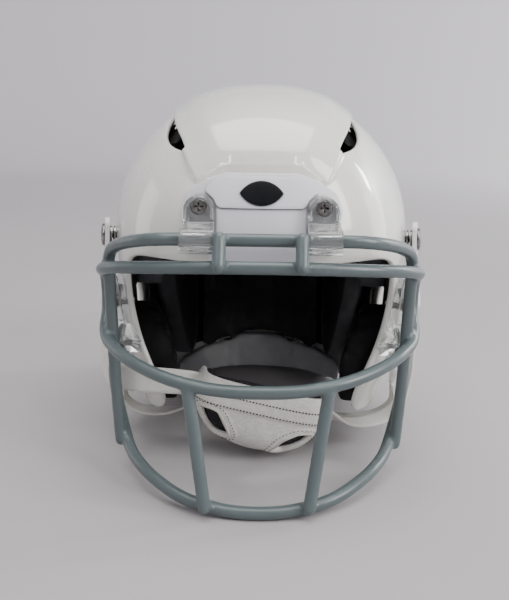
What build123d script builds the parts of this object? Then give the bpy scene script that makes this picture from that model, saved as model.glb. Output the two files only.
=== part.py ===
"""American football helmet: a vented shell, a bumper and badge on the brow, a coated wire face mask
that flips up in two brow clips, a padded liner on damper discs, and a chin cup on four snap straps.

Frame: millimetres, +Z up, the face looks along -Y, +X is to the right of someone looking at the face.
The helmet stands as it does on a table: on the chin bar of the mask and on the back rim of the shell.
The origin is on the table, under the middle of the helmet's box.
"""

from build123d import *
from functools import lru_cache
import math
import os

os.makedirs("parts", exist_ok=True)

# ---------------------------------------------------------------- driving dimensions
LENGTH = 320.0  # front of the mask to the back of the crown band
SHELL_T = 4.0  # wall of the shell
HALF_WIDTH = 109.5  # shell, at brow height
BROW_Z = 140.0  # height of the shell's widest section
CROWN_RISE = 112.0  # from there to the top of the shell
CENTRE_Y = 20.0  # middle of the shell's sections, front to back
FRONT_REACH = 137.0  # from there forward to the brow
BAND_RISE = 5.0  # how far the crown band stands proud
BACK_REACH = LENGTH / 2 - CENTRE_Y - BAND_RISE
PLAN_POWER = 2.2  # squareness of the sections, seen from above
DOME_POWER = 2.2  # squareness of the dome, seen from the side
JAW_TUCK = (21.0, 44.0, 33.0)  # how far width, front and back draw in at table height

WIRE_R = 4.0  # coated wire of the mask
PIVOT_Y, PIVOT_Z = -130.0, 164.0  # axis of the brow bar's straight middle
CLIP_X = 37.0  # brow clips, either side
CLIP_WIDTH = 19.0
CLIP_RUN = 0.15  # clearance between clip and wire

SCREW_R = 2.5
HOLE_R = 2.7
HEAD_R = 4.6

STRAP_W = 19.0
STRAP_T = 2.0
SNAP_HIGH = (-30.0, 150.0)  # Y and Z of the upper snaps
SNAP_LOW = (-4.0, 60.0)  # Y and Z of the lower snaps

LINER_GAP = 6.0  # room for the dampers between shell and pads
PAD_T = 22.0
FIT = 0.3  # gap between neighbours that only touch in life


# ---------------------------------------------------------------- the shell's surface
def half_axes(z, grow=0.0):
    """Half width, front reach and back reach of the section at height z, grown outwards."""
    width, front, back = HALF_WIDTH + grow, FRONT_REACH + grow, BACK_REACH + grow
    if z >= BROW_Z:
        rise = min((z - BROW_Z) / (CROWN_RISE + grow), 1.0)
        share = (1 - rise**DOME_POWER) ** (1 / DOME_POWER)
        return width * share, front * share, back * share
    drop = (BROW_Z - z) / BROW_Z
    return (
        width - JAW_TUCK[0] * drop**2,
        front - JAW_TUCK[1] * drop**1.4,
        back - JAW_TUCK[2] * drop**2,
    )


def level(x, y, z, grow=0.0):
    """1 on the grown surface, less inside it."""
    width, front, back = half_axes(min(z, BROW_Z), grow)
    reach = front if y < CENTRE_Y else back
    plan = (abs(x) / width) ** PLAN_POWER + (abs(y - CENTRE_Y) / reach) ** PLAN_POWER
    if z < BROW_Z:
        return plan
    rise = (z - BROW_Z) / (CROWN_RISE + grow)
    return plan ** (DOME_POWER / PLAN_POWER) + rise**DOME_POWER


def side_x(y, z, grow=0.0):
    """X of the surface on the right-hand side, at a Y and a Z."""
    width, front, back = half_axes(z, grow)
    reach = front if y < CENTRE_Y else back
    return width * (1 - (abs(y - CENTRE_Y) / reach) ** PLAN_POWER) ** (1 / PLAN_POWER)


def front_y(x, z, grow=0.0):
    """Y of the surface on the front, at an X and a Z."""
    width, front, _ = half_axes(z, grow)
    return CENTRE_Y - front * (1 - (abs(x) / width) ** PLAN_POWER) ** (1 / PLAN_POWER)


def back_y(x, z, grow=0.0):
    width, _, back = half_axes(z, grow)
    return CENTRE_Y + back * (1 - (abs(x) / width) ** PLAN_POWER) ** (1 / PLAN_POWER)


def outward(x, y, z):
    """Unit normal of the surface near a point on it."""
    step = 0.5
    slope = Vector(
        level(x + step, y, z) - level(x - step, y, z),
        level(x, y + step, z) - level(x, y - step, z),
        level(x, y, z + step) - level(x, y, z - step),
    )
    return slope.normalized()


def section_points(z, grow, count=24):
    """Points round the section at height z, from the front and back again."""
    width, front, back = half_axes(z, grow)
    points = []
    for i in range(count):
        turn = 2 * math.pi * i / count - math.pi / 2
        c, s = math.cos(turn), math.sin(turn)
        reach = back if s > 0 else front
        x = math.copysign(width * abs(c) ** (2 / PLAN_POWER), c)
        y = CENTRE_Y + math.copysign(reach * abs(s) ** (2 / PLAN_POWER), s)
        points.append((x, y))
    return points


@lru_cache(maxsize=None)
def dome(grow, floor=0.0):
    """The closed dome inside the surface grown by an amount, from a floor height up."""
    heights = [floor + (BROW_Z - floor) * i / 5 for i in range(5)]
    heights += [BROW_Z + (CROWN_RISE + grow) * math.sin(math.radians(a)) for a in range(0, 85, 12)]
    with BuildPart() as body:
        for z in heights:
            with BuildSketch(Plane.XY.offset(z)):
                with BuildLine():
                    Spline(*section_points(z, grow), periodic=True)
                make_face()
        loft()
    return body.part


def prism_yz(points, x_from, x_to):
    """A block whose outline is drawn in Y and Z."""
    with BuildPart() as body:
        with BuildSketch(Plane.YZ.offset(x_from)):
            with BuildLine():
                Polyline(*points, close=True)
            make_face()
        extrude(amount=x_to - x_from)
    return body.part


def prism_xy(points, z_from, z_to):
    """A block whose outline is drawn in X and Y."""
    with BuildPart() as body:
        with BuildSketch(Plane.XY.offset(z_from)):
            with BuildLine():
                Polyline(*points, close=True)
            make_face()
        extrude(amount=z_to - z_from)
    return body.part


def plate_on_front(outline, low, high):
    """A plate that follows the front of the shell, outlined in X and Z, between two growths."""
    with BuildPart() as body:
        with BuildSketch(Plane.XZ.offset(60)):
            with BuildLine():
                Polyline(*outline, close=True)
            make_face()
        extrude(amount=110)
        add(dome(high), mode=Mode.INTERSECT)
        add(dome(low), mode=Mode.SUBTRACT)
    return body.part


def both_sides(points):
    """An outline's right half, bottom to top, with its mirror image."""
    return points + [(-x, z) for x, z in reversed(points)]


def rod(origin, direction, radius, start, end):
    """A cylinder along a direction, from one distance to another."""
    plane = Plane(origin=Vector(*origin) + direction * start, z_dir=direction)
    with BuildPart() as body:
        with BuildSketch(plane):
            Circle(radius)
        extrude(amount=end - start)
    return body.part


def save(part, name):
    part.label = name
    export_step(part, f"parts/{name}.step")


SIDES = (("left", -1), ("right", 1))  # left and right of someone looking at the face

# ---------------------------------------------------------------- where the fasteners go
FLANGE_TILT = math.radians(16)
CLIP_AXIS = Vector(0, -math.cos(FLANGE_TILT), math.sin(FLANGE_TILT))
CLIP_SCREW_Z = 178.0
CLIP_SCREW_Y = front_y(CLIP_X, CLIP_SCREW_Z)
SIDE_CLIP_Y, SIDE_CLIP_Z = -38.0, 104.0  # screws of the side clips
REAR_SCREW_X, REAR_SCREW_Z = 34.0, 22.0


def clip_screw_spots():
    return [((s * CLIP_X, CLIP_SCREW_Y, CLIP_SCREW_Z), CLIP_AXIS) for _, s in SIDES]


def side_spot(side, y, z):
    """Point and outward direction on the side of the shell."""
    x = side_x(y, z)
    normal = outward(x, y, z)
    return (side * x, y, z), Vector(side * normal.X, normal.Y, normal.Z)


def rear_screw_spots():
    spots = []
    for _, s in SIDES:
        y = back_y(REAR_SCREW_X, REAR_SCREW_Z)
        normal = outward(REAR_SCREW_X, y, REAR_SCREW_Z)
        spots.append(((s * REAR_SCREW_X, y, REAR_SCREW_Z), Vector(s * normal.X, normal.Y, normal.Z)))
    return spots


def side_clip_spots():
    return [side_spot(s, SIDE_CLIP_Y, SIDE_CLIP_Z) for _, s in SIDES]


def snap_spots():
    return [side_spot(s, *at) for at in (SNAP_HIGH, SNAP_LOW) for _, s in SIDES]


ALL_SPOTS = clip_screw_spots() + side_clip_spots() + rear_screw_spots() + snap_spots()

# ---------------------------------------------------------------- outlines of the shell
# Side view, Y and Z: what is cut away for the face, under the jaw flaps and under the back.
FACE_CUT = [
    (-175, -20), (-175, 145), (-88, 147), (-66, 140), (-61, 126), (-60, 92), (-66, 58),
    (-66, 42), (-60, 30), (-48, 25), (20, 24), (58, 14), (98, 0), (98, -20),
]
# Side view of the ear hole.
EAR_HOLE = [(8, 74), (28, 63), (50, 70), (56, 92), (44, 107), (16, 103)]
# Plan view of the right half of the crown band, front to back.
BAND_EDGE = [
    (29, -125), (33, -107), (47.5, -88), (59, -52), (64, -15), (65, 25), (61, 75), (50, 120), (36, 175),
]
# Plan view of the right-hand brow vent: it lies along the band's edge.
VENT = [(47.8, -87), (57, -68), (62, -53), (65, -37), (64.5, -20), (59.2, -50), (53, -72)]
# Plan view of the right-hand crown vent, further back.
REAR_VENT = [(66, 40), (73, 46), (70, 74), (63, 92), (64, 66)]


def make_crown_band():
    """The raised band that runs over the crown, front to back."""
    band_plan = BAND_EDGE + [(-x, y) for x, y in reversed(BAND_EDGE)]
    with BuildPart() as band:
        add(dome(BAND_RISE))
        add(prism_xy(band_plan, 100, 270), mode=Mode.INTERSECT)
        add(prism_yz([(-150, 218), (175, 118), (175, 280), (-150, 280)], -90, 90), mode=Mode.INTERSECT)
    return band.part


def make_shell():
    with BuildPart() as shell:
        add(dome(0))
        add(make_crown_band())
        add(dome(-SHELL_T, floor=-2), mode=Mode.SUBTRACT)
        add(prism_yz(FACE_CUT, -150, 150), mode=Mode.SUBTRACT)
        add(prism_yz(EAR_HOLE, -150, 150), mode=Mode.SUBTRACT)
        for outline in (VENT, REAR_VENT):
            add(prism_xy(outline, 150, 270), mode=Mode.SUBTRACT)
            add(prism_xy([(-x, y) for x, y in outline], 150, 270), mode=Mode.SUBTRACT)
        for origin, direction in ALL_SPOTS:
            add(rod(origin, direction, HOLE_R, -15, 15), mode=Mode.SUBTRACT)
    return shell.part


# ---------------------------------------------------------------- bumpers, badge and emblem
BUMPER = both_sides([
    (32, 147), (32, 160), (47, 166), (49.5, 178), (46, 188), (38, 193), (30, 197), (22, 200),
])
BADGE = both_sides([
    (24.5, 180.2), (26.8, 181.5), (28.6, 185.2), (33.8, 189.2), (33.2, 192), (29.5, 196), (22, 198.5),
])


def make_front_bumper():
    with BuildPart() as bumper:
        add(plate_on_front(BUMPER, FIT, 3.0))
        for origin, direction in clip_screw_spots():
            add(rod(origin, direction, HOLE_R, -15, 25), mode=Mode.SUBTRACT)
    return bumper.part


def make_front_emblem():
    """A plain ball shape, pointed at both ends."""
    with BuildPart() as emblem:
        with BuildSketch(Plane.XZ.offset(60)):
            with BuildLine():
                ThreePointArc((-13, 189), (0, 196), (13, 189))
                ThreePointArc((13, 189), (0, 182), (-13, 189))
            make_face()
        extrude(amount=110)
        add(dome(4.9), mode=Mode.INTERSECT)
        add(dome(4.2), mode=Mode.SUBTRACT)
    return emblem.part


def make_rear_bumper():
    with BuildPart() as bumper:
        with BuildSketch(Plane.XZ.offset(-60)):
            with BuildLine():
                FilletPolyline((-48, 6), (48, 6), (44, 36), (-44, 36), radius=6, close=True)
            make_face()
        extrude(amount=-120)
        add(dome(3.2), mode=Mode.INTERSECT)
        add(dome(FIT), mode=Mode.SUBTRACT)
        for origin, direction in rear_screw_spots():
            add(rod(origin, direction, HOLE_R, -15, 25), mode=Mode.SUBTRACT)
    return bumper.part


# ---------------------------------------------------------------- fasteners
def screw(origin, direction, seat, nut_depth):
    """Pan head with a cross recess, its underside a distance out along the direction."""
    head = Plane(origin=Vector(*origin) + direction * seat, z_dir=direction)
    with BuildPart() as body:
        with BuildSketch(head):
            Circle(HEAD_R)
        extrude(amount=2.4)
        with BuildSketch(head):
            Circle(SCREW_R)
        extrude(amount=-(seat + nut_depth))
        with BuildSketch(head.offset(2.4)):
            Rectangle(5.2, 1.1)
            Rectangle(1.1, 5.2)
        extrude(amount=-1.5, mode=Mode.SUBTRACT)
    return body.part


def tee_nut(origin, direction, depth):
    """Flanged nut inside the shell: it grips the screw and is cut by its shank."""
    with BuildPart() as body:
        add(rod(origin, direction, 6.0, -depth - 1.5, -depth))
        add(rod(origin, direction, SCREW_R + 0.05, -20, 20), mode=Mode.SUBTRACT)
    return body.part


def stud(origin, direction):
    """Snap stud: a foot on the shell, a necked post outside and a shank through the wall."""
    base = Plane(origin=Vector(*origin), z_dir=direction)
    outline = [
        (0, -8), (2.2, -8), (2.2, 0.6), (6.5, 0.6), (6.5, 1.7), (2.4, 2.2), (2.4, 4.2), (2.9, 5.0),
        (2.9, 6.0), (0, 6.4),
    ]
    with BuildPart() as body:
        with BuildSketch(Plane(origin=base.origin, x_dir=base.x_dir, z_dir=-base.y_dir)):
            with BuildLine():
                Polyline(*outline, close=True)
            make_face()
        revolve(axis=Axis(base.origin, base.z_dir))
    return body.part


def cap(origin, direction):
    """Snap cap: a domed button outside the strap tab and a socket that grips the stud."""
    base = Plane(origin=Vector(*origin), z_dir=direction)
    outline = [
        (3.1, 3.0), (6.5, 3.0), (6.5, 4.7), (4.2, 4.9), (4.2, 8.3), (8.0, 8.3), (7.6, 9.6), (5.0, 10.4),
        (0, 10.7), (0, 7.2), (3.1, 7.2),
    ]
    with BuildPart() as body:
        with BuildSketch(Plane(origin=base.origin, x_dir=base.x_dir, z_dir=-base.y_dir)):
            with BuildLine():
                Polyline(*outline, close=True)
            make_face()
        revolve(axis=Axis(base.origin, base.z_dir))
    return body.part


def group(solids):
    return Compound(children=[s for part in solids for s in part.solids()])


# ---------------------------------------------------------------- the clips
# Side view of a brow clip, Y and Z: a loop round the wire and a flange up the brow.
FRONT_CLIP = [
    (-137.5, 164), (-136, 170), (-119.5, 172), (-114.5, 187.5), (-98, 187.5), (-98, 156.5), (-137.5, 156.5),
]


def make_front_clip(side):
    """Clear loop round the brow bar, with a flange that is screwed over the bumper's ear."""
    with BuildPart() as clip:
        with BuildSketch(Plane.YZ.offset(side * CLIP_X - CLIP_WIDTH / 2)):
            with BuildLine():
                FilletPolyline(*FRONT_CLIP, radius=2.0, close=True)
            make_face()
        extrude(amount=CLIP_WIDTH)
        with BuildSketch(Plane.XZ.offset(90)):
            with Locations((side * CLIP_X, CLIP_SCREW_Z)):
                Circle(CLIP_WIDTH / 2)
            with Locations((side * CLIP_X, CLIP_SCREW_Z - 12)):
                Rectangle(CLIP_WIDTH, 24)
        extrude(amount=60, mode=Mode.INTERSECT)
        with Locations(Plane.YZ.offset(side * CLIP_X)):
            with Locations((PIVOT_Y, PIVOT_Z)):
                Cylinder(WIRE_R + CLIP_RUN, CLIP_WIDTH + 2, mode=Mode.SUBTRACT)
        add(dome(3.0 + FIT), mode=Mode.SUBTRACT)
        screw_spot = (side * CLIP_X, CLIP_SCREW_Y, CLIP_SCREW_Z)
        add(rod(screw_spot, CLIP_AXIS, HOLE_R, -15, 30), mode=Mode.SUBTRACT)
        add(rod(screw_spot, CLIP_AXIS, HEAD_R + 0.4, 9.0, 40), mode=Mode.SUBTRACT)
    return clip.part.solids().sort_by(SortBy.VOLUME)[-1]


TAIL_R = 110.3  # the chin bar's ends lie on this radius about the mask's pivot
TAIL_X = 98.5
TAIL_FROM, TAIL_TO = 56.0, 45.0  # degrees below level, seen from the pivot


def tail_point(degrees, radius=TAIL_R):
    """Y and Z at an angle below level behind the pivot."""
    a = math.radians(degrees)
    return PIVOT_Y + radius * math.cos(a), PIVOT_Z - radius * math.sin(a)


def tail_direction(degrees):
    """Unit tangent of the tail's arc, upwards and back."""
    a = math.radians(degrees)
    return Vector(0, math.sin(a), math.cos(a))


def make_side_clip():
    """Right-hand clip: a clear plate on the flap, with a channel that the mask's end slides out of."""
    plate = [(-57.5, 86), (-57.5, 120), (-52, 126), (-43, 122), (-36, 108), (-36, 92), (-44, 80)]
    block = [tail_point(a, TAIL_R + r) for a, r in ((52, -8), (52, 8), (43, 8), (43, -8))]
    with BuildPart() as clip:
        add(prism_yz(plate, 60, 120))
        add(dome(4.2), mode=Mode.INTERSECT)
        add(prism_yz(block, 60, TAIL_X + 2.5))
        add(dome(FIT), mode=Mode.SUBTRACT)
        start = TAIL_FROM + 6
        with BuildSketch(Plane((0, PIVOT_Y, PIVOT_Z), x_dir=(1, 0, 0), z_dir=tail_direction(start))):
            with Locations((TAIL_X, TAIL_R)):
                Circle(WIRE_R + CLIP_RUN)
            with Locations((TAIL_X + 5, TAIL_R)):
                Rectangle(10, 2 * WIRE_R - 1)
        turn = start - TAIL_TO + 1
        revolve(axis=Axis((0, PIVOT_Y, PIVOT_Z), (1, 0, 0)), revolution_arc=turn, mode=Mode.SUBTRACT)
        origin, direction = side_clip_spots()[1]
        add(rod(origin, direction, HOLE_R, -15, 30), mode=Mode.SUBTRACT)
    return clip.part.solids().sort_by(SortBy.VOLUME)[-1]


# ---------------------------------------------------------------- the mask's wires
def corner_radii(points, closed=False):
    """The largest round bend that each corner's two runs allow."""
    count = len(points)
    corners = range(count) if closed else range(1, count - 1)
    radii = []
    for i in corners:
        here = Vector(*points[i])
        before = here - Vector(*points[i - 1])
        after = Vector(*points[(i + 1) % count]) - here
        half_turn = math.radians(before.get_angle(after) / 2)
        radii.append(0.45 * min(before.length, after.length) / math.tan(half_turn))
    return radii


def mirrored_run(half):
    """A run of points across the mask, from its right half, middle to side."""
    return [(-x, y, z) for x, y, z in reversed(half)] + half


def wire(points, closed=False, round_ends=True):
    """A round coated wire along straight runs joined by arcs."""
    with BuildPart() as body:
        with BuildLine() as path:
            if len(points) == 2:
                Line(*points)
            elif closed:
                FilletPolyline(*points, radius=corner_radii(points, True), close=True)
            else:
                FilletPolyline(*points, radius=corner_radii(points))
        with BuildSketch(Plane(origin=path.line @ 0, z_dir=path.line % 0)):
            Circle(WIRE_R)
        sweep()
        if round_ends and not closed:
            with Locations(path.line @ 0, path.line @ 1):
                Sphere(WIRE_R)
    return body.part


BROW_BAR = [
    (62, PIVOT_Y, PIVOT_Z), (84, -109, 158), (97.5, -88, 149), (97, -86, 122), (96, -86, 66),
    (92.5, -90.5, 20),
]
EYE_HOOP = [
    (25, -138.5, 149.5), (64, -127, 146.5), (89.5, -108, 142.5), (101.5, -92, 138), (103.5, -68, 132),
    (103.5, -64, 106), (102.5, -87, 92), (84, -114.5, 86), (55, -136, 80.5), (22, -147, 77.5),
]
TAIL_START = Vector(TAIL_X, *tail_point(TAIL_FROM))
TAIL_LEAD = TAIL_START - tail_direction(TAIL_FROM) * 12
CHIN_BAR = [
    (14, -154.5, 4), (45, -145.5, 7), (69, -124, 12.5), (84, -101, 16), (92.5, -80.5, 27), (97.5, -76.5, 48),
    tuple(TAIL_LEAD), tuple(TAIL_START),
]
UPRIGHT = [(41.5, -141.5, 75), (31, -156, 8)]
LINK = [(23.5, -136.8, 166), (23.5, -144.6, 151)]


def make_chin_bar():
    """The lowest wire: round the chin, up inside the brow bar's ends, and back into the side clips."""
    with BuildPart() as body:
        with BuildLine() as path:
            points = mirrored_run(CHIN_BAR)
            FilletPolyline(*points, radius=corner_radii(points))
            for _, s in SIDES:
                angles = (TAIL_FROM, (TAIL_FROM + TAIL_TO) / 2, TAIL_TO)
                ThreePointArc(*[Vector(s * TAIL_X, *tail_point(a)) for a in angles])
        with BuildSketch(Plane(origin=path.line @ 0, z_dir=path.line % 0)):
            Circle(WIRE_R)
        sweep()
    return body.part


# ---------------------------------------------------------------- the liner
def pad(outline, direction, low, high, outer=-SHELL_T - LINER_GAP, thickness=PAD_T):
    """A block of foam between two growths of the shell's surface, cut out along X, Y or Z."""
    with BuildPart() as body:
        add(dome(outer))
        add(dome(outer - thickness, floor=-4), mode=Mode.SUBTRACT)
        if direction == "x":
            add(prism_yz(outline, low, high), mode=Mode.INTERSECT)
        elif direction == "z":
            add(prism_xy(outline, low, high), mode=Mode.INTERSECT)
        else:
            with BuildSketch(Plane.XZ.offset(-low)):
                with BuildLine():
                    Polyline(*outline, close=True)
                make_face()
            extrude(amount=low - high, mode=Mode.INTERSECT)
    return body.part


BROW_PAD = both_sides([(64, 150), (74, 158), (74, 184), (60, 194)])
CROWN_PAD = [(-40, -50), (40, -50), (52, -34), (52, 60), (40, 88), (-40, 88), (-52, 60), (-52, -34)]
SIDE_PAD = [(-44, 116), (-30, 113), (64, 113), (80, 124), (80, 178), (60, 200), (-30, 200), (-48, 178)]
REAR_PAD = both_sides([(6, 36), (20, 35), (36, 31), (46, 28.5), (53, 33), (53, 128), (44, 138)])
UPPER_REAR_PAD = both_sides([(44, 141), (56, 150), (56, 182), (44, 190)])
NECK_PAD = [(62, 28), (108, 28), (108, 110), (62, 110)]
NAPE_PAD = both_sides([(60, 3), (72, 6), (72, 20), (56, 24), (36, 28.5), (20, 32.5), (6, 33.5)])
JAW_PAD = [(-50, 42), (-44, 29), (-8, 29), (3, 40), (3, 72), (-6, 98), (-30, 98), (-40, 84), (-46, 62)]


def make_jaw_pad():
    """Right-hand pad inside the flap, cleared for the snap's nut."""
    with BuildPart() as body:
        add(pad(JAW_PAD, "x", 58, 130, outer=-SHELL_T - FIT, thickness=24))
        for origin, direction in snap_spots() + side_clip_spots():
            add(rod(origin, direction, 8, -12, 5), mode=Mode.SUBTRACT)
    return body.part


def make_nape_pad():
    """Thin pad behind the neck, cleared for the rear bumper's nuts."""
    with BuildPart() as body:
        add(pad(NAPE_PAD, "y", 60, 160, outer=-SHELL_T - FIT, thickness=12))
        for origin, direction in rear_screw_spots():
            add(rod(origin, direction, 7.5, -12, 5), mode=Mode.SUBTRACT)
    return body.part


# Side view of the sheet that ties the pads together.
CARRIER = [
    (-40, 101), (-40, 215), (-20, 262), (150, 262), (150, 30), (62, 27), (6, 27), (6, 101),
]

# Front view of the space that the sheet leaves for the nape pad.
NAPE_CLEAR = both_sides([(62, -5), (73.5, 3), (73.5, 21), (57, 25.5), (36.5, 30), (20.3, 34), (6, 35)])


def make_liner_carrier():
    """Thin sheet between the dampers and the pads."""
    with BuildPart() as sheet:
        add(dome(-8.2))
        add(dome(-9.7, floor=-2), mode=Mode.SUBTRACT)
        add(prism_yz(CARRIER, -150, 150), mode=Mode.INTERSECT)
        add(prism_yz(EAR_HOLE, -150, 150), mode=Mode.SUBTRACT)
        with BuildSketch(Plane.XZ.offset(-60)):
            with BuildLine():
                Polyline(*NAPE_CLEAR, close=True)
            make_face()
        extrude(amount=-100, mode=Mode.SUBTRACT)
        for origin, direction in snap_spots() + side_clip_spots():
            add(rod(origin, direction, 7.5, -14, 5), mode=Mode.SUBTRACT)
    return sheet.part


DAMPER_R = 14.0
# Where the dampers stand: X and Y on top, Y and Z on the sides, X and Z front and back.
TOP_DAMPERS = [(0, -40), (0, 10), (0, 60), (32, -20), (32, 36)]
SIDE_DAMPERS = [(-2, 132), (44, 132), (20, 166)]
FRONT_DAMPERS = [(0, 166)]
BACK_DAMPERS = [(28, 60), (28, 104), (28, 168)]


def surface_z(x, y):
    """Z of the surface above an X and a Y, found by halving."""
    low, high = BROW_Z, BROW_Z + CROWN_RISE
    for _ in range(40):
        middle = (low + high) / 2
        if level(x, y, middle) < 1:
            low = middle
        else:
            high = middle
    return low


def make_dampers():
    """Soft discs that hold the pads off the shell and let the liner give."""
    spots = [(x, y, surface_z(x, y)) for x, y in TOP_DAMPERS]
    spots += [(side_x(y, z), y, z) for y, z in SIDE_DAMPERS]
    spots += [(x, front_y(x, z), z) for x, z in FRONT_DAMPERS]
    spots += [(x, back_y(x, z), z) for x, z in BACK_DAMPERS]
    discs = []
    for x, y, z in spots:
        for side in (1, -1) if x else (1,):
            normal = outward(x, y, z)
            direction = Vector(side * normal.X, normal.Y, normal.Z)
            discs.append(rod((side * x, y, z), direction, DAMPER_R, -7.9, -5.5))
    return group(discs)


# ---------------------------------------------------------------- chin cup, straps and buckles
CUP_CENTRE = (2.5, -52.0, 39.5)
CUP_TILT, CUP_ROLL = 5.0, 10.0  # bowl turned down, and one side hanging lower
CUP_R = 34.0  # depth of the bowl; it is drawn as a ball, then widened and flattened
CUP_WIDEN, CUP_FLATTEN = 1.35, 0.88
CUP_T = 2.8
CUP_PAD_T = 6.0


def cup_layer(outer, inner):
    """A layer of the bowl between two radii, open at the back and cut level at the top."""
    with BuildPart() as body:
        Sphere(outer)
        Sphere(inner, mode=Mode.SUBTRACT)
        with Locations((0, 48, 0)):
            Box(120, 100, 80, mode=Mode.SUBTRACT)
        with Locations((0, 0, 50.5)):
            Box(120, 120, 60, mode=Mode.SUBTRACT)
        with BuildSketch(Plane.XZ):
            with Locations((17.8, -9), (-17.8, -9)):
                Circle(5.3)
        extrude(amount=50, mode=Mode.SUBTRACT)
    bowl = scale(body.part, by=(CUP_WIDEN, 1, CUP_FLATTEN))
    return bowl.moved(Pos(*CUP_CENTRE) * Rot(0, CUP_ROLL, 0) * Rot(CUP_TILT, 0, 0))


def ribbon(points, facings, width=STRAP_W, thickness=STRAP_T):
    """A flat strap through points; each facing is the way the strap's outer face looks there."""
    with BuildPart() as body:
        for i, point in enumerate(points):
            before = Vector(*points[max(i - 1, 0)])
            after = Vector(*points[min(i + 1, len(points) - 1)])
            tangent = (after - before).normalized()
            across = tangent.cross(Vector(*facings[i])).normalized()
            with BuildSketch(Plane(origin=point, x_dir=across, z_dir=tangent)):
                Rectangle(width, thickness)
        loft(ruled=True)
    return body.part


TAB_MID, TAB_UP, TAB_DOWN = 6.5, 12.0, 26.0  # height over the shell, and reach past the snap


def tab_frame(at, lean):
    """Right-hand snap: origin, outward direction and the way the tab points, leaning forwards."""
    origin, direction = side_spot(1, *at)
    down = Vector(0, -math.sin(math.radians(lean)), -math.cos(math.radians(lean)))
    down = (down - direction * down.dot(direction)).normalized()
    return Vector(*origin), direction, down


def make_tab(at, lean):
    """Stiff end of a right-hand strap, with the hole for its snap cap."""
    origin, direction, down = tab_frame(at, lean)
    plane = Plane(origin=origin + direction * (TAB_MID - 1.5), x_dir=down, z_dir=direction)
    with BuildPart() as body:
        with BuildSketch(plane):
            with Locations(((TAB_DOWN - TAB_UP) / 2, 0)):
                RectangleRounded(TAB_UP + TAB_DOWN, STRAP_W + 1, 6)
            with Locations((0, 0)):
                Circle(4.35, mode=Mode.SUBTRACT)
        extrude(amount=3.0)
    return body.part


HIGH_LEAN, LOW_LEAN = 6.0, 42.0


def strap_start(at, lean, side):
    """Middle of a strap's first section, clear of its tab's end, and the way it faces."""
    origin, direction, down = tab_frame(at, lean)
    start = origin + direction * TAB_MID + down * (TAB_DOWN + 4.2)
    return (side * start.X, start.Y, start.Z), (side * direction.X, direction.Y, direction.Z)


HIGH_START = {s: strap_start(SNAP_HIGH, HIGH_LEAN, s) for _, s in SIDES}
LOW_START = {s: strap_start(SNAP_LOW, LOW_LEAN, s) for _, s in SIDES}
HIGH_RIGHT = [
    ((112.5, -38, 98), (1, -0.25, 0)), ((112, -41, 71), (1, -0.2, -0.1)), ((109, -44, 48), (1, -0.1, -0.4)),
    ((101, -47, 27), (0.7, 0, -0.7)), ((88, -50, 18.5), (0.2, 0, -1)), ((67, -54, 18), (0.1, -0.1, -1)),
    ((49.5, -57, 26), (0.6, -0.2, -0.8)),
]
HIGH_LEFT = [
    ((-112.5, -38, 98), (-1, -0.25, 0)), ((-112, -44, 80), (-1, -0.4, 0)), ((-109, -55, 65), (-0.9, -0.6, 0)),
    ((-101, -66, 57.5), (-0.5, -0.9, 0)), ((-84, -71.5, 56.5), (0, -1, 0)), ((-65, -70.5, 55), (0, -1, 0)),
    ((-47.5, -61.5, 52.5), (-0.3, -1, 0)),
]
LOW_RIGHT = [
    ((101, -27, 24), (0.8, 0, -0.5)), ((88, -29, 14), (0.2, 0, -1)),
    ((68, -32, 12), (0, 0, -1)), ((49, -41, 17), (0.3, 0, -1)),
]
LOW_LEFT = [
    ((-101, -27, 24), (-0.8, 0, -0.5)), ((-88, -29, 14), (-0.2, 0, -1)),
    ((-68, -33, 15), (0, 0, -1)), ((-48, -41, 25), (-0.4, 0, -1)),
]


def strap(start, rest, width=STRAP_W):
    points, facings = zip(start, *rest)
    return ribbon(points, facings, width)


def make_buckle(side, run):
    """Slider on an upper strap: a bar with a slot that the strap runs through."""
    (start, facing), (end, _) = HIGH_START[side], run[0]
    tangent = (Vector(*end) - Vector(*start)).normalized()
    middle = (Vector(*start) + Vector(*end)) * 0.5
    across = tangent.cross(Vector(*facing)).normalized()
    with BuildPart() as body:
        with BuildSketch(Plane(origin=middle - tangent * 7, x_dir=across, z_dir=tangent)):
            RectangleRounded(STRAP_W + 6, STRAP_T + 4.4, 2)
            Rectangle(STRAP_W + 1.6, STRAP_T + 1.6, mode=Mode.SUBTRACT)
        extrude(amount=14)
    return body.part


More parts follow.
